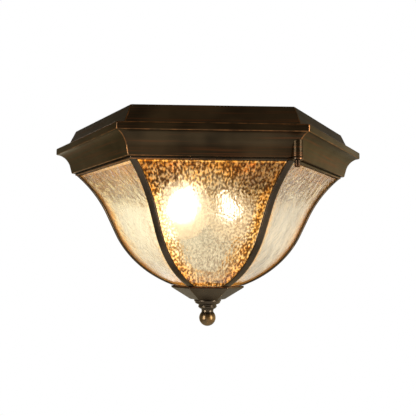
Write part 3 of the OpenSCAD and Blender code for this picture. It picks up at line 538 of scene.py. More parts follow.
def hexagon(flat, depth, round_r):
    """A hexagon's points at a depth, by its radius across the flats, with rounded corners."""
    centre = (flat - round_r) / COS30
    points = []
    for k in range(6):
        for i in range(CORNER_STEPS + 1):
            corner = math.radians(60 * k)
            turn = corner + math.radians(-30 + 60 * i / CORNER_STEPS)
            points.append((centre * math.cos(corner) + round_r * math.cos(turn),
                           centre * math.sin(corner) + round_r * math.sin(turn), -depth))
    return points


def corner_marks(wear, corner_wear):
    """The wear round a hexagon: its side's own, and more at the middle of each corner's rounding."""
    around = [corner_wear * math.sin(math.pi * i / CORNER_STEPS) for i in range(CORNER_STEPS + 1)]
    return [max(wear, w) for w in around] * 6


def hex_skin(name, profile, round_r, corner_wear=0, looped=False):
    """A six-sided mesh over a profile of (across flats, depth, wear) points."""
    return skin(name, [hexagon(a, d, min(round_r, a)) for a, d, _ in profile],
                [corner_marks(w, corner_wear) for _, _, w in profile], looped)


def across_flats(corners):
    """A profile's points, their corner radii turned to radii across the flats."""
    return [(corner_r * COS30, *rest) for corner_r, *rest in corners]


def circle(radius, depth, count=64):
    """Points of a circle about the Z axis at a depth."""
    return [(radius * math.cos(2 * math.pi * i / count), radius * math.sin(2 * math.pi * i / count), -depth)
            for i in range(count)]


def turned(name, profile, count=64, looped=False, shift=None):
    """A turned mesh over a profile of (radius, depth, wear) points; shift may move each point."""
    rings = [circle(max(r, 0.01), d, count) for r, d, _ in profile]
    if shift:
        rings = [[shift(Vector(p)) for p in ring] for ring in rings]
    return skin(name, rings, [[w] * count for _, _, w in profile], looped)


def placed(piece, matrix):
    """Moves a new mesh to its place; its object stays at the origin."""
    piece.data.transform(matrix)
    if matrix.determinant() < 0:
        piece.data.flip_normals()
    return piece


def at_corner(azimuth, radius=0, depth=0):
    """The place at an azimuth, a radius and a depth, facing outwards."""
    out = Matrix.Translation(Vector((radius, 0, -depth)) * MM)
    return Matrix.Rotation(math.radians(azimuth), 4, "Z") @ out


def joined(piece, tool, operation):
    """Adds a tool to a piece (UNION) or cuts it out (DIFFERENCE), and removes the tool."""
    change = piece.modifiers.new("change", "BOOLEAN")
    change.operation = operation
    change.solver = "EXACT"
    change.object = tool
    change.material_mode = "TRANSFER"
    bpy.context.view_layer.update()
    settle(piece)
    bpy.data.objects.remove(tool)
    return piece


def marked(piece, name, values, kind="FLOAT", field="value"):
    """Gives each point of a piece its own value under a name, for the finish to read."""
    piece.data.attributes.new(name, kind, "POINT").data.foreach_set(field, values)


def dress(piece, body, slot, *nodes, material=None):
    """Gives a piece its finish, the body it rides on, and the nodes it stands for."""
    if not piece.data.materials:
        piece.data.materials.append(material or FINISHES[slot])
    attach(piece, body)
    if nodes:
        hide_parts(*nodes)


# Canopy
COVE_MID = (LIP_R - COVE_SET + COVE_R * math.sin(math.radians(COVE_LEANS[0])),
            LIP_BOTTOM + COVE_R * math.cos(math.radians(COVE_LEANS[0])))


def cove(radius, steps=16):
    """The hollow moulding under the lip, as (corner radius, depth) points of an arc."""
    first, last = COVE_LEANS
    leans = [math.radians(first + (last - first) * i / steps) for i in range(steps + 1)]
    return [(COVE_MID[0] - radius * math.sin(a), COVE_MID[1] - radius * math.cos(a)) for a in leans]


def tier_inside(depth):
    """Corner radius of the upper tier's inner face at a depth."""
    return CEILING_R + (LEDGE_R - CEILING_R) * depth / UPPER_H - CANOPY_WALL / COS30


def canopy_casting():
    """The canopy: two tiers with rounded edges, a post for the latch and one for the hinge, hollow
    below its plate and recessed above it."""
    outside = [(CEILING_R - 4, 0, 0, 0), (CEILING_R, 0, 0.7, 0.5), (LEDGE_R, UPPER_H, 1.2, 0),
               (LIP_R, UPPER_H, 1.3, 0.75), (LIP_R, LIP_BOTTOM, 1.0, 0.55)]
    outside += [(r, d, 0, 0) for r, d in cove(COVE_R)]
    outside += [(FOOT_R, CANOPY_H, 0.9, 0.8), (FOOT_R - 3, CANOPY_H, 0, 0)]
    casting = hex_skin("canopy_casting", rounded(across_flats(outside)), 2.4, 0.6)
    casting.data.materials.append(FINISHES["cast_bronze"])
    for azimuth in (LATCH_AZ, HINGE_AZ):
        corner_post(casting, azimuth)
    hollow_out(casting)
    joined(casting, hinge_lug(), "UNION")
    smooth(casting)
    dress(casting, "fixture", "cast_bronze", "canopy")


def corner_post(casting, azimuth):
    """Adds the canopy's post at a corner, below the hollow moulding."""
    post = turned("post", rounded([(0, POST_TOP - 0.5, 0, 0), (POST_R, POST_TOP - 0.5, 1.2, 0),
                                   (POST_R, CANOPY_H, 0.3, 0), (0, CANOPY_H, 0, 0)]), 40)
    joined(casting, placed(post, at_corner(azimuth, POST_POS)), "UNION")
    # The casting's wear runs into the post's points where they join; the post stays dark
    axis = at_corner(azimuth, POST_POS).translation / MM
    worn = casting.data.attributes["wear"].data
    for i, vertex in enumerate(casting.data.vertices):
        off = vertex.co / MM - axis
        if off.xy.length < POST_R + 0.2 and -off.z > POST_TOP - 2:
            worn[i].value = 0


def hollow_out(casting):
    """Cuts the recess above the canopy's plate, the lacquered hollow below it, the wire hole between
    them and the latch screw's way."""
    recess = hex_skin("recess", across_flats([(tier_inside(d), d, 0) for d in (-1, RECESS_H)]), 1)
    ledge_inside = UPPER_H + CANOPY_WALL
    cove_inside = cove(COVE_R + CANOPY_WALL)
    foot_inside = FOOT_R - CANOPY_WALL / COS30
    inside = [(tier_inside(PLATE_BOTTOM), PLATE_BOTTOM), (tier_inside(ledge_inside), ledge_inside),
              (cove_inside[0][0], ledge_inside), *cove_inside,
              (foot_inside, CANOPY_H), (foot_inside, CANOPY_H + 1)]
    hollow = hex_skin("hollow", across_flats([(r, d, 0) for r, d in inside]), 1)
    hollow.data.materials.append(INTERIOR)
    wire_hole = turned("wire_hole", [(WIRE_HOLE_R, RECESS_H - 1, 0), (WIRE_HOLE_R, PLATE_BOTTOM + 1, 0)])
    way = turned("screw_way", [(SHANK_WAY_R, SHANK_WAY_TOP, 0), (SHANK_WAY_R, SNAP_WAY_TOP, 0),
                               (SNAP_WAY_R, SNAP_WAY_TOP, 0), (SNAP_WAY_R, CANOPY_H + 1, 0)], 32)
    placed(way, at_corner(LATCH_AZ, POST_POS))
    for tool in (recess, hollow, wire_hole, way):
        joined(casting, tool, "DIFFERENCE")


def plate_of(name, outline, thick, edge=0.4):
    """A flat plate over an outline of (x, y) points that runs anticlockwise, with rounded edges,
    from height 0 up to its thickness."""
    count = len(outline)
    normals = []
    for i in range(count):
        run = Vector(outline[(i + 1) % count]) - Vector(outline[i - 1])
        normals.append(Vector((run.y, -run.x)).normalized())
    soft = edge * 0.3
    levels = [(0, edge), (soft, soft), (edge, 0), (thick - edge, 0), (thick - soft, soft), (thick, edge)]
    rings = [[(x - n.x * inset, y - n.y * inset, z) for (x, y), n in zip(outline, normals)]
             for z, inset in levels]
    marks = [[0.1 if 0 < z < thick and inset else 0] * count for z, inset in levels]
    return skin(name, rings, marks)


def arc(radius, first, last, steps=16):
    """Points of an arc from one angle to another, in degrees."""
    turns = [math.radians(first + (last - first) * i / steps) for i in range(steps + 1)]
    return [(radius * math.cos(a), radius * math.sin(a)) for a in turns]


def across_hinge(start):
    """Turns a plate so that its thickness runs along the hinge's pin, from a place on it."""
    return (at_corner(HINGE_AZ, HINGE_POS, HINGE_DEPTH)
            @ Matrix.Translation((0, start * MM, 0)) @ Matrix.Rotation(math.radians(90), 4, "X") @ MIRRORED)


def hinge_lug():
    """The canopy's knuckle under the post at the hinge corner."""
    rise = HINGE_DEPTH - CANOPY_H + 1
    outline = arc(KNUCKLE_R, 180, 360) + [(KNUCKLE_R, rise), (-KNUCKLE_R, rise)]
    lug = placed(plate_of("lug", outline, LUG_W), across_hinge(-LUG_W / 2))
    bore = turned("bore", [(PIN_R + EASE, -1, 0), (PIN_R + EASE, LUG_W + 1, 0)], 24)
    return joined(lug, placed(bore, across_hinge(LUG_W / 2) @ MIRRORED), "DIFFERENCE")


def cage_ring():
    """The ring that carries the glass and the ribs: an angle section, an ear for the latch screw and
    two ears for the hinge."""
    outer, inner = RING_R * COS30, RING_R * COS30 - RING_WALL
    section = rounded([(outer, RING_TOP, 0.5, 0.6), (outer, RING_BOTTOM, 0.9, 1),
                       (outer - FLANGE_W, RING_BOTTOM, 0.4, 0.1), (outer - FLANGE_W, EAR_TOP, 0.3, 0),
                       (inner, EAR_TOP, 0.3, 0), (inner, RING_TOP, 0.5, 0)], True, 3)
    ring = hex_skin("cage_ring_band", section, 1, 0.3, True)
    ring.data.materials.append(FINISHES["bronze_cage"])
    thick = RING_BOTTOM - EAR_TOP
    tongue = POST_POS - RING_R + 3
    ear = plate_of("ear", arc(POST_R, -90, 90) + [(-tongue, POST_R), (-tongue, -POST_R)], thick)
    joined(ring, placed(ear, at_corner(LATCH_AZ, POST_POS, RING_BOTTOM)), "UNION")
    hole = turned("screw_hole", [(SCREW_R + EASE, EAR_TOP - 1, 0), (SCREW_R + EASE, RING_BOTTOM + 1, 0)], 32)
    joined(ring, placed(hole, at_corner(LATCH_AZ, POST_POS)), "DIFFERENCE")
    rise = HINGE_DEPTH - EAR_TOP
    for start in (LUG_W / 2 + KNUCKLE_GAP, -LUG_W / 2 - KNUCKLE_GAP - EAR_W):
        outline = arc(KNUCKLE_R, 180, 360)
        outline += [(KNUCKLE_R, 0.4), (0.6, rise), (-KNUCKLE_ARM, rise), (-KNUCKLE_ARM, rise - thick),
                    (-KNUCKLE_R, rise - thick)]
        joined(ring, placed(plate_of("knuckle", outline, EAR_W, 0.3), across_hinge(start)), "UNION")
    smooth(ring)
    dress(ring, "cage", "bronze_cage", "cage_ring")


# Bell
FLARE_MID = (BELL_TOP_A + FLARE_R * math.cos(TOP_LEAN), CANOPY_H + FLARE_R * math.sin(TOP_LEAN))
FLARE_END = (FLARE_MID[0] - FLARE_R * math.cos(MID_LEAN), FLARE_MID[1] - FLARE_R * math.sin(MID_LEAN))
BOWL_START = (FLARE_END[0] - STRAIGHT_L * math.sin(MID_LEAN), FLARE_END[1] + STRAIGHT_L * math.cos(MID_LEAN))
BOWL_MID = (BOWL_START[0] - BOWL_R * math.cos(MID_LEAN), BOWL_START[1] - BOWL_R * math.sin(MID_LEAN))
RING_LEAN = math.asin((FLARE_MID[1] - RING_BOTTOM) / FLARE_R)
FLARE_L = FLARE_R * (RING_LEAN - MID_LEAN)
BELL_LENGTH = FLARE_L + STRAIGHT_L + BOWL_R * (FOOT_LEAN - MID_LEAN)


def bell_at(length, inset=0):
    """A place on the bell: (across flats, depth, lean), a length down from the ring's lower face."""
    if length < FLARE_L:
        lean = RING_LEAN - length / FLARE_R
        reach = FLARE_R + inset
        return FLARE_MID[0] - reach * math.cos(lean), FLARE_MID[1] - reach * math.sin(lean), lean
    length -= FLARE_L
    if length < STRAIGHT_L:
        out = FLARE_END[0] - length * math.sin(MID_LEAN) - inset * math.cos(MID_LEAN)
        depth = FLARE_END[1] + length * math.cos(MID_LEAN) - inset * math.sin(MID_LEAN)
        return out, depth, MID_LEAN
    lean = MID_LEAN + (length - STRAIGHT_L) / BOWL_R
    reach = BOWL_R - inset
    return BOWL_MID[0] + reach * math.cos(lean), BOWL_MID[1] + reach * math.sin(lean), lean


# A sheet's points: how far from its edges the outer rows run, and how many there are between them
EDGE_ROWS = (0, 0.6, 1.4, 2.6, 5, 8.5)
LENGTH_STEPS = 36
SIDE_STEPS = 14


def sheet_place(length, inset):
    """A place on a sheet, which is cut level at both ends: (across flats, depth, lean)."""
    out, depth, lean = bell_at(length, inset)
    if depth < GLASS_TOP:
        return out - (GLASS_TOP - depth) * math.tan(lean), GLASS_TOP, lean
    if depth > GLASS_FOOT or BELL_LENGTH - length < 0.01:
        return out + (depth - GLASS_FOOT) * math.tan(lean), GLASS_FOOT, lean
    return out, depth, lean


def sheet_row(half):
    """Where the points across a sheet lie, from its half width."""
    inner = half - EDGE_ROWS[-1]
    side = [half - n for n in EDGE_ROWS] + [inner * (1 - i / SIDE_STEPS) for i in range(1, SIDE_STEPS + 1)]
    return side + [-s for s in side[-2::-1]]


def glass_panel(name, azimuth):
    """One bent panel, faintly wavy, its edges ground flat. Its border value is how far in mm each
    point is from what frames it, stretched below the canopy for painted shade and stretched at the foot;
    its sheet place is where it lay before the bending."""
    middle = [EDGE_ROWS[-1] + (BELL_LENGTH - 2 * EDGE_ROWS[-1]) * i / LENGTH_STEPS
              for i in range(1, LENGTH_STEPS)]
    rings, marks, sheet = [], [], []
    for length in [*EDGE_ROWS, *middle, *(BELL_LENGTH - n for n in EDGE_ROWS[::-1])]:
        foot_gap = BELL_LENGTH - length
        ring, mark = [], []
        for inset in (0, GLASS_T):
            out, depth, lean = sheet_place(length, inset)
            half = out * TAN30 - GLASS_CLEAR / COS30
            row = sheet_row(half)
            for s in row[::-1] if inset else row:
                gap = min(half - abs(s), length, foot_gap)
                point = Vector((out, s, -depth))
                wave = noise.noise(point / GLASS_WAVE + Vector((azimuth, 0, inset)))
                wave *= GLASS_WAVE_H * min(1, gap / WAVE_FADE)
                point += Vector((math.cos(lean), 0, -math.sin(lean))) * wave
                ring.append(point)
                # Below the canopy the border is stretched out, to carry painted shade of the canopy
                mark.append(min(half - abs(s) - FRAME_LAP, length / TOP_SHADE + 1,
                                foot_gap / FOOT_SHADE - 1))
                sheet += (s, depth, azimuth * 10 + OFF_LATTICE)
        rings.append(ring)
        marks.append(mark)
    panel = skin(name + "_panel", rings, marks, label="border")
    marked(panel, "sheet", sheet, "FLOAT_VECTOR", "vector")
    placed(panel, at_corner(azimuth))
    smooth(panel, 50)
    # The back and front panels are full of seeds; the others were drawn further over the mould
    streaked = azimuth not in (90, 270)
    marked(panel, "seeded", [FEW_SEEDS if streaked else 1] * len(panel.data.vertices))
    depths = [place.vector.y for place in panel.data.attributes["sheet"].data]
    marked(panel, "drawn", [max(0, min(1, 1.4 - (depth - GLASS_TOP) / FOLD_REACH)) if streaked else 0
                            for depth in depths])
    marked(panel, "lamplight", [lamplight(v.co / MM) for v in panel.data.vertices])
    dress(panel, "cage", "amber_glass", name)


def lamplight(point):
    """How much of the lamps' light a place on the glass scatters, more where a globe is near. The glass
    paints it on as a glow and as paler tint.
    """
    total = 0
    for side, azimuth in LAMPS.items():
        globe = at_lamp(azimuth) @ Vector((0, 0, -(BULB_S + LAMP_TIP) * MM)) / MM
        total += (BULB_R / (point - globe).length) ** 2 * GLOW[side]
    return SCATTER * total


def rib_section(lean):
    """A rib's section as (across, proud of the glass's corner, wear): a crowned bar and its web."""
    fall = TAN30 * math.cos(lean)
    under, neck = SEAT - fall * RIB_W / 2, SEAT - fall * RIB_WEB / 2
    edge = under + RIB_EDGE
    crown = [(RIB_W / 2 * math.sin(math.radians(a)), edge + (RIB_PROUD - edge) * math.cos(math.radians(a)),
              0.5 if abs(a) == 75 else 0) for a in range(90, -91, -15)]
    half_web = RIB_WEB / 2
    return crown + [(-RIB_W / 2, under, 0), (-half_web, neck, 0), (-half_web, -WEB_DEPTH, 0),
                    (half_web, -WEB_DEPTH, 0), (half_web, neck, 0), (RIB_W / 2, under, 0)]


def rib(name, azimuth, steps=44):
    """One rib, bent along the corner of the bell."""
    rings, marks = [], []
    for i in range(steps + 1):
        out, depth, lean = bell_at(BELL_LENGTH * i / steps)
        lean = math.atan(math.tan(lean) / COS30)
        # The section stands square to the rib, and upright at both ends, which are cut level
        tilt = lean * min(1, i / 4, (steps - i) / 4)
        reach = 1 / math.cos(lean - tilt)
        section = rib_section(lean)
        rings.append([(out / COS30 + proud * reach * math.cos(tilt), across,
                       -depth - proud * reach * math.sin(tilt)) for across, proud, _ in section])
        marks.append([wear for _, _, wear in section])
    bar = skin(name + "_bar", rings, marks)
    placed(bar, at_corner(azimuth))
    smooth(bar, 40)
    dress(bar, "cage", "bronze_cage", name)


def foot_cap():
    """The six-sided cap below the glass, hollow, with a bright worn rim."""
    wall = CAP_WALL / COS30
    section = across_flats([
        (CAP_R, CAP_TOP, 0.7, 1), (CAP_R, CAP_TOP + CAP_RIM_H, 0.6, 0.5), (CAP_END_R, CAP_BOTTOM, 0.9, 0.4),
        (CAP_HOLE_R, CAP_BOTTOM, 0.2, 0), (CAP_HOLE_R, CAP_BOTTOM - CAP_WALL, 0.2, 0),
        (CAP_END_R - 3, CAP_BOTTOM - CAP_WALL, 0.4, 0), (CAP_R - wall - 3, CAP_TOP + 2.9, 0.3, 0),
        (CAP_R - wall, CAP_TOP + 2.3, 0.2, 0), (CAP_R - wall, CAP_TOP, 0.3, 0.5)])
    cap = hex_skin("foot_cap_shell", rounded(section, True, 4), 0.9, 0.45, True)
    smooth(cap)
    dress(cap, "cage", "bronze_cage", "foot_cap")


def ball_finial():
    """The turned finial: disc, hollow moulding, collar, neck and ball."""
    join = math.asin(BALL_NECK_R / BALL_R)
    middle = BALL_NECK_END + BALL_R * math.cos(join)
    line = rounded([(0, 0, 0, 0), (14.3, 0, 0.4, 0.5), (14.5, 1.3, 0.4, 0.3), (13.6, 2.2, 0.5, 0),
                    (13.2, 3.6, 0.8, 0.35), (11.8, 4.6, 0.5, 0.1), (9.9, 5, 0.8, 0), (9.5, 6, 0.4, 0),
                    (10.1, 7.6, 1, 0.3), (8.4, 9.4, 0.5, 0), (7, 9.9, 0.4, 0), (BALL_NECK_R, 11.2, 0.8, 0),
                    (6.4, 12.9, 0, 0)], steps=4)
    for i in range(25):
        turn = join + (math.pi - join) * i / 24
        line.append((BALL_R * math.sin(turn), middle - BALL_R * math.cos(turn), min(0.8, 0.3 + 0.12 * i)))
    piece = placed(turned("ball_finial", line, 72), Matrix.Translation((0, 0, -FINIAL_TOP * MM)))
    smooth(piece, 30)
    dress(piece, "cage", "bronze_finial", "finial")


def latch_screw():
    """The captive screw: a thin shank, and a head that can be turned by the fingers."""
    top = RING_BOTTOM + SEAT
    start = EAR_TOP - SHANK_L
    line = [(0, start, 0, 0), (SCREW_R, start, 0.5, 0), (SCREW_R, top, 0, 0), (HEAD_R, top, 0.4, 0.2),
            (HEAD_R, top + 1.6, 0.2, 0), (HEAD_GROOVE_R, top + 1.9, 0.2, 0), (HEAD_R, top + 2.2, 0.2, 0.1),
            (HEAD_R - EASE, top + HEAD_H, 1.6, 0.45), (0, top + HEAD_H, 0, 0)]
    piece = placed(turned("latch_screw_turned", rounded(line), 40), at_corner(LATCH_AZ, POST_POS))
    smooth(piece, 40)
    dress(piece, "latch_screw", "bronze_nuts", "latch_screw")


def at_lamp(azimuth):
    """The place of a lampholder's back; a turned piece's depth runs down and out along the lamp."""
    return (at_corner(azimuth, HOLDER_OUT, HOLDER_DROP)
            @ Matrix.Rotation(math.radians(90 + LAMP_TILT), 4, "Y") @ MIRRORED)


def bulb(side, azimuth):
    """A lamp's blown glass: a neck that swells into the globe, as thick as its wall all round."""
    neck_r = CAP_SCREW_R + 0.2
    neck_start = BULB_S - math.sqrt((BULB_R + NECK_BEND_R) ** 2 - (neck_r + NECK_BEND_R) ** 2)
    neck_turn = math.atan2(BULB_S - neck_start, neck_r + NECK_BEND_R)

    def outline(inset):
        line = [(neck_r - inset, CAP_SCREW_L + SEAT)]
        for i in range(13):
            turn = neck_turn * i / 12
            line.append((neck_r + NECK_BEND_R - (NECK_BEND_R + inset) * math.cos(turn),
                         neck_start + (NECK_BEND_R + inset) * math.sin(turn)))
        for i in range(1, 33):
            turn = -neck_turn + (math.pi / 2 + neck_turn) * i / 32
            line.append(((BULB_R - inset) * math.cos(turn), BULB_S + (BULB_R - inset) * math.sin(turn)))
        return line

    line = outline(0) + outline(BULB_WALL)[::-1]
    glass = turned(f"{side}_bulb_glass", [(r, s + LAMP_TIP, 0) for r, s in line], 72, True)
    length = BULB_S + BULB_R - CAP_SCREW_L
    marked(glass, "along", [(-v.co.z / MM - CAP_SCREW_L) / length for v in glass.data.vertices])
    placed(glass, at_lamp(azimuth))
    smooth(glass, 50)
    glass.visible_shadow = False
    dress(glass, f"{side}_lamp", "frosted_bulb", f"lamp_bulb_{side}", material=FROSTED[side])


def core(side, azimuth):
    """What burns in a lamp, as one body on a stem."""
    core_r = CORE_R[side]
    line = [(0, CORE_S, 0, 0), (CORE_STEM_R, CORE_S, 2, 0), (CORE_STEM_R, CORE_S + 8, 0, 0),
            (core_r, CORE_S + 16, 4, 0), (core_r, CORE_S + 13 + 2 * core_r, 6, 0),
            (0, CORE_S + 14 + 2 * core_r, 0, 0)]
    body = turned(f"{side}_lamp_core", rounded(line), 32)
    placed(body, at_lamp(azimuth))
    smooth(body, 60)
    dress(body, f"{side}_lamp", "frosted_bulb", material=BURNING[side])


def screw_cap(side, azimuth):
    """A lamp's thin screw cap, its thread rolled into it."""
    fade = 1.5

    def rolled(point):
        along = -point.z - LAMP_TIP
        inside = min(1, max(0, (along - 7) / fade), max(0, (CAP_SCREW_L - fade - along) / fade))
        turn = math.atan2(point.y, point.x) + 2 * math.pi * along / THREAD_PITCH
        dip = THREAD_H * inside * (0.5 - 0.5 * math.cos(turn))
        flat = Vector((point.x, point.y, 0))
        return point - flat.normalized() * dip if flat.length > 5 else point

    line = [(9.05, 4), (11, 5)] + [(CAP_SCREW_R, 6.2 + i * 0.45) for i in range(42)]
    line += [(CAP_SCREW_R, CAP_SCREW_L), (12.2, CAP_SCREW_L), (12, 7), (9.05, 5.2)]
    cap = turned(f"{side}_screw_cap", [(r, s + LAMP_TIP, 0) for r, s in line], 64, True, rolled)
    placed(cap, at_lamp(azimuth))
    smooth(cap, 60)
    dress(cap, f"{side}_lamp", "lamp_cap_metal", f"lamp_cap_{side}")


def wool_pad():
    """The ring of glass wool in the recess: flat where it lies on the plate, uneven on top, and
    ragged at its cut edges."""
    width = PAD_OUTER - PAD_INNER - 2 * PAD_RAGGED
    middle = (PAD_OUTER + PAD_INNER) / 2
    radii = [PAD_INNER + PAD_RAGGED + width * i / 20 for i in range(21)]
    edge = ((0.5, PAD_BOTTOM - 0.6), (0, (PAD_BOTTOM + PAD_TOP) / 2), (0.5, PAD_TOP + 0.8))
    profile = [(r, PAD_BOTTOM, 0) for r in radii] + [(PAD_OUTER - back, d, 0) for back, d in edge]
    profile += [(r, PAD_TOP + 0.3, 0) for r in radii[::-1]]
    profile += [(PAD_INNER + back, d, 0) for back, d in edge[::-1]]

    def matted(point):
        if point.z < -PAD_BOTTOM + 0.1:
            return point
        lift = PAD_LIFT * noise.noise(point / PAD_LUMP) + PAD_LIFT * noise.noise(point / PAD_TUFT)
        fray = PAD_FRAY_H * noise.noise(point / PAD_FRAY + Vector((0, 0, 40)))
        flat = Vector((point.x, point.y, 0)).normalized()
        outwards = 1 if point.xy.length > middle else -1
        return point + Vector((0, 0, lift - PAD_LIFT)) + flat * (fray - 0.4) * outwards

    pad = turned("wool_pad", profile, 200, True, matted)
    # The pad is split into flat facets, and no hole's corner lies on their lines, for a clean cut
    pad.modifiers.new("facets", "TRIANGULATE")
    off_the_facets = Matrix.Rotation(math.radians(5), 4, "Z")
    for side in (-1, 1):
        hole = turned("stud_hole", [(STUD_CLEAR, PAD_TOP - 2, 0), (STUD_CLEAR, PAD_BOTTOM + 1, 0)], 32)
        spot = Matrix.Translation((side * STUD_OUT * MM, 0, 0))
        joined(pad, placed(hole, spot @ off_the_facets), "DIFFERENCE")
    pad.data.materials.clear()
    smooth(pad, 60)
    dress(pad, "fixture", "insulation", "insulation_pad")


def sleeve(name, path):
    """A round sleeve along a route."""
    # Each pass cuts the route's corners, until it runs smooth
    for _ in range(3):
        cut = [path[0]]
        for one, other in zip(path, path[1:]):
            cut += [one.lerp(other, 0.25), one.lerp(other, 0.75)]
        path = cut + [path[-1]]
    turns = [2 * math.pi * k / 12 for k in range(12)]
    rings = []
    for i, point in enumerate(path):
        along = (path[min(i + 1, len(path) - 1)] - path[max(i - 1, 0)]).normalized()
        across = along.cross(Vector((1, 0, 0))).normalized()
        up = across.cross(along)
        rings.append([point + LEAD_R * (across * math.cos(a) + up * math.sin(a)) for a in turns])
    return skin(name, rings)


def leads():
    """The four sleeved leads, from the lampholders' backs through the bushing to the wire nuts."""
    bundle = None
    for azimuth in LAMPS.values():
        for side in (-1, 1):
            lead = sleeve("lamp_leads_sleeved", [Vector((x, y * side, z)) for x, y, z in LEAD_ROUTE])
            placed(lead, at_corner(azimuth))
            bundle = joined(bundle, lead, "UNION") if bundle else lead
    smooth(bundle, 60)
    dress(bundle, "fixture", "lead_jacket", "lamp_leads")


def twist_on_nuts():
    """The two moulded wire nuts: tapered, fluted for the fingers, with a plain skirt at the mouth."""

    def fluted(point):
        along = -point.z
        grip = min(1, max(0, along - 4.5), max(0, WIRE_NUT_L - 1 - along))
        dip = FLUTE_H * grip * (1 + math.cos(FLUTES * math.atan2(point.y, point.x))) / 2
        flat = Vector((point.x, point.y, 0))
        return point - flat.normalized() * dip if flat.length > 2 else point

    line = [(0, 6), (3.1, 6), (3.1, 0.4), (3.5, 0), (3.9, 0.4), (3.85, 3.8), (3.55, 4.4)]
    line += [(3.5 - 0.9 * i / 12, 4.4 + 9.6 * i / 12) for i in range(13)]
    line += [(1.9, WIRE_NUT_L), (0, WIRE_NUT_L)]
    both = None
    for azimuth in LAMPS.values():
        shell = turned("wire_nut_shells", [(r, d, 0) for r, d in line], 84, False, fluted)
        placed(shell, at_corner(azimuth)
               @ Matrix.Translation((0, WIRE_NUT_Y * MM, -WIRE_NUT_DEPTH * MM))
               @ Matrix.Rotation(math.radians(90), 4, "X"))
        both = joined(both, shell, "UNION") if both else shell
    smooth(both, 50)
    dress(both, "fixture", "wire_nut_plastic", "wire_nuts")


canopy_casting()
wool_pad()
leads()
twist_on_nuts()
cage_ring()
for name, azimuth in (("rib_right", 0), ("rib_back_right", 60), ("rib_back_left", 120), ("rib_left", 180),
                      ("rib_front_left", 240), ("rib_front_right", 300)):
    rib(name, azimuth)
for name, azimuth in (("glass_back_right", 30), ("glass_back", 90), ("glass_back_left", 150),
                      ("glass_front_left", 210), ("glass_front", 270), ("glass_front_right", 330)):
    glass_panel(name, azimuth)
foot_cap()
ball_finial()
latch_screw()
for side, azimuth in LAMPS.items():
    bulb(side, azimuth)
    core(side, azimuth)
    screw_cap(side, azimuth)

# What stays as the frame has it gets its finish
slots = {part["node"]: part["material_slot"] for part in frame["record"]["subparts"]}
for name, piece in frame["nodes"].items():
    if not piece.hide_render:
        piece.data.materials.clear()
        piece.data.materials.append(INTERIOR if name == "glass_clips" else FINISHES[slots[name]])

# Stage: a pale floor far below, a white studio, soft lights
FLOOR_DEPTH = 2200
FLOOR_R = 2700
FLOOR_GLOW = 0.5
FLOOR_T = 10
ROOM_R = 5000
floor = turned("floor", [(0, FLOOR_DEPTH, 0), (FLOOR_R, FLOOR_DEPTH, 0), (FLOOR_R, FLOOR_DEPTH + FLOOR_T, 0),
                         (0, FLOOR_DEPTH + FLOOR_T, 0)], 96)
# Matt paint, rolled on: even, and pale enough to run into the white studio
floor.data.materials.append(plain_finish("pale_floor_paint", "#F0F1F2", "#EBECED", 90, 0.8,
                                         Emission_Strength=FLOOR_GLOW))


def softbox(name, place, aim, size, power, colour):
    """A soft rectangular light at a place, aimed at a point, in metres and watts."""
    data = bpy.data.lights.new(name, "AREA")
    data.shape = "RECTANGLE"
    data.size, data.size_y = size
    data.energy = power
    data.color = linear(colour)[:3]
    light = bpy.data.objects.new(name, data)
    light.location = place
    light.rotation_euler = (Vector(aim) - Vector(place)).to_track_quat("-Z", "Y").to_euler()
    light.visible_camera = False
    light.visible_transmission = False
    bpy.context.scene.collection.objects.link(light)


softbox("right_softbox", (1.5, 0.9, -0.2), (0, 0, -0.08), (1.0, 1.2), 1.2, "#FFF3D8")
softbox("low_softbox", (0.2, -1.2, -0.85), (0, 0, -0.05), (1.5, 0.9), 3, "#F0F2FA")
softbox("front_softbox", (0, -0.9, 1.5), (0, 0, 0), (1.4, 0.6), 1.4, "#FFEBD4")
softbox("left_spot", (-1.2, -1.0, -0.1), (0, 0, -0.1), (0.45, 1.1), 26, "#FFFAF4")
softbox("right_spot", (1.35, -0.9, -0.1), (0, 0, -0.1), (0.6, 1.1), 28, "#FFFAF4")


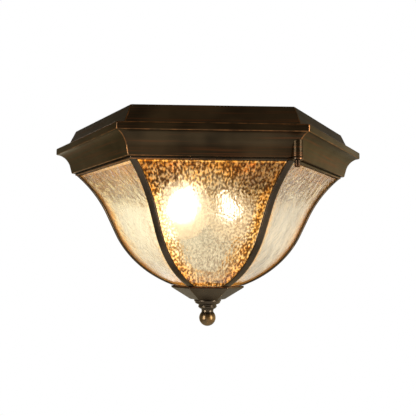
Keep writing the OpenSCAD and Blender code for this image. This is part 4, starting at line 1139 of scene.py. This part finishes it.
def studio_walls():
    """The studio round the floor, lit softly: brightest behind the light and towards the left, and
    dimmer in front and overhead, so that the dark bronze has something to mirror. The camera
    doesn't see it."""
    leans = [math.pi * (i / 24 - 0.5) for i in range(25)]
    walls = turned("studio_walls", [(ROOM_R * math.cos(a), ROOM_R * math.sin(a), 0) for a in leans], 48)
    material, tree, shader, place = finish("studio_wall_light", Roughness=1)
    shader.inputs["Base Color"].default_value = linear("#000000")
    shader.inputs["Specular IOR Level"].default_value = 0
    facing = add(tree, "VectorMath", {0: place}, operation="NORMALIZE")
    across, ahead, above = (add(tree, "SeparateXYZ", {0: facing}, out=axis) for axis in range(3))
    # All round: brighter ahead and at the far right, dim overhead
    light = add(tree, "MapRange", {0: ahead, 1: 0.25, 2: 0.8, 3: 0.48, 4: 0.7})
    right = add(tree, "MapRange", {0: across, 1: 0.4, 2: 0.8, 4: 0.7})
    light = add(tree, "Math", {0: light, 1: right}, operation="ADD")
    ceiling = add(tree, "MapRange", {0: above, 1: 0.1, 2: 0.35, 3: 1, 4: 0.3})
    light = add(tree, "Math", {0: light, 1: ceiling}, operation="MULTIPLY")
    # Behind the light: a bright panel, half as bright right of its middle, and more light at its left
    behind = add(tree, "MapRange", {0: ahead, 1: 0.8, 2: 0.87, 4: 1.02})
    dimmed = add(tree, "MapRange", {0: across, 2: 0.15, 3: 1, 4: 0.55})
    behind = add(tree, "Math", {0: behind, 1: dimmed}, operation="MULTIPLY")
    light = add(tree, "Math", {0: light, 1: behind}, operation="MAXIMUM")
    left = add(tree, "MapRange", {0: across, 1: 0.05, 2: -0.25})
    behind = add(tree, "MapRange", {0: ahead, 1: 0.8, 2: 0.95, 4: 0.9})
    light = add(tree, "Math", {0: left, 1: behind, 2: light}, operation="MULTIPLY_ADD")
    tree.links.new(light, shader.inputs["Emission Strength"])
    # White behind, warmer in front
    front = add(tree, "MapRange", {0: ahead, 1: 0.2, 2: -0.6})
    warmth = add(tree, "Mix", {0: front, 6: linear("#FFFFFF"), 7: linear("#FFEBD2")}, out=2, data_type="RGBA")
    tree.links.new(warmth, shader.inputs["Emission Color"])
    walls.data.materials.append(material)
    walls.visible_camera = False


studio_walls()
world = bpy.data.worlds.new("white_studio")
world.use_nodes = True
world.node_tree.nodes["Background"].inputs["Color"].default_value = linear("#FFFFFF")
bpy.context.scene.world = world

# Camera, from the photograph: its distance and depth in metres, the light's turn, the camera's pitch
# and roll, and where the picture's middle falls
FRAME_PX = 416
FOCAL_PX = 606.45
VIEW_DISTANCE = 0.6526
VIEW_DEPTH = 0.1322
OBJECT_TURN = math.radians(1.425)
PITCH = math.radians(4.13)
ROLL = math.radians(0.545)
CENTRE_PX = (208.37, 211.49)
SENSOR = 36
lens = bpy.data.cameras.new("camera")
lens.sensor_width = SENSOR
lens.lens = FOCAL_PX / FRAME_PX * SENSOR
lens.shift_x = 0.5 - CENTRE_PX[0] / FRAME_PX
lens.shift_y = CENTRE_PX[1] / FRAME_PX - 0.5
lens.clip_start = 0.01
camera = bpy.data.objects.new("camera", lens)
bpy.context.scene.collection.objects.link(camera)
camera.matrix_world = (Matrix.Rotation(-OBJECT_TURN, 4, "Z")
                       @ Matrix.Translation((0, -VIEW_DISTANCE, -VIEW_DEPTH))
                       @ Matrix.Rotation(math.pi / 2 + PITCH, 4, "X") @ Matrix.Rotation(ROLL, 4, "Z"))
bpy.context.scene.camera = camera
bpy.context.scene.view_settings.view_transform = "Standard"
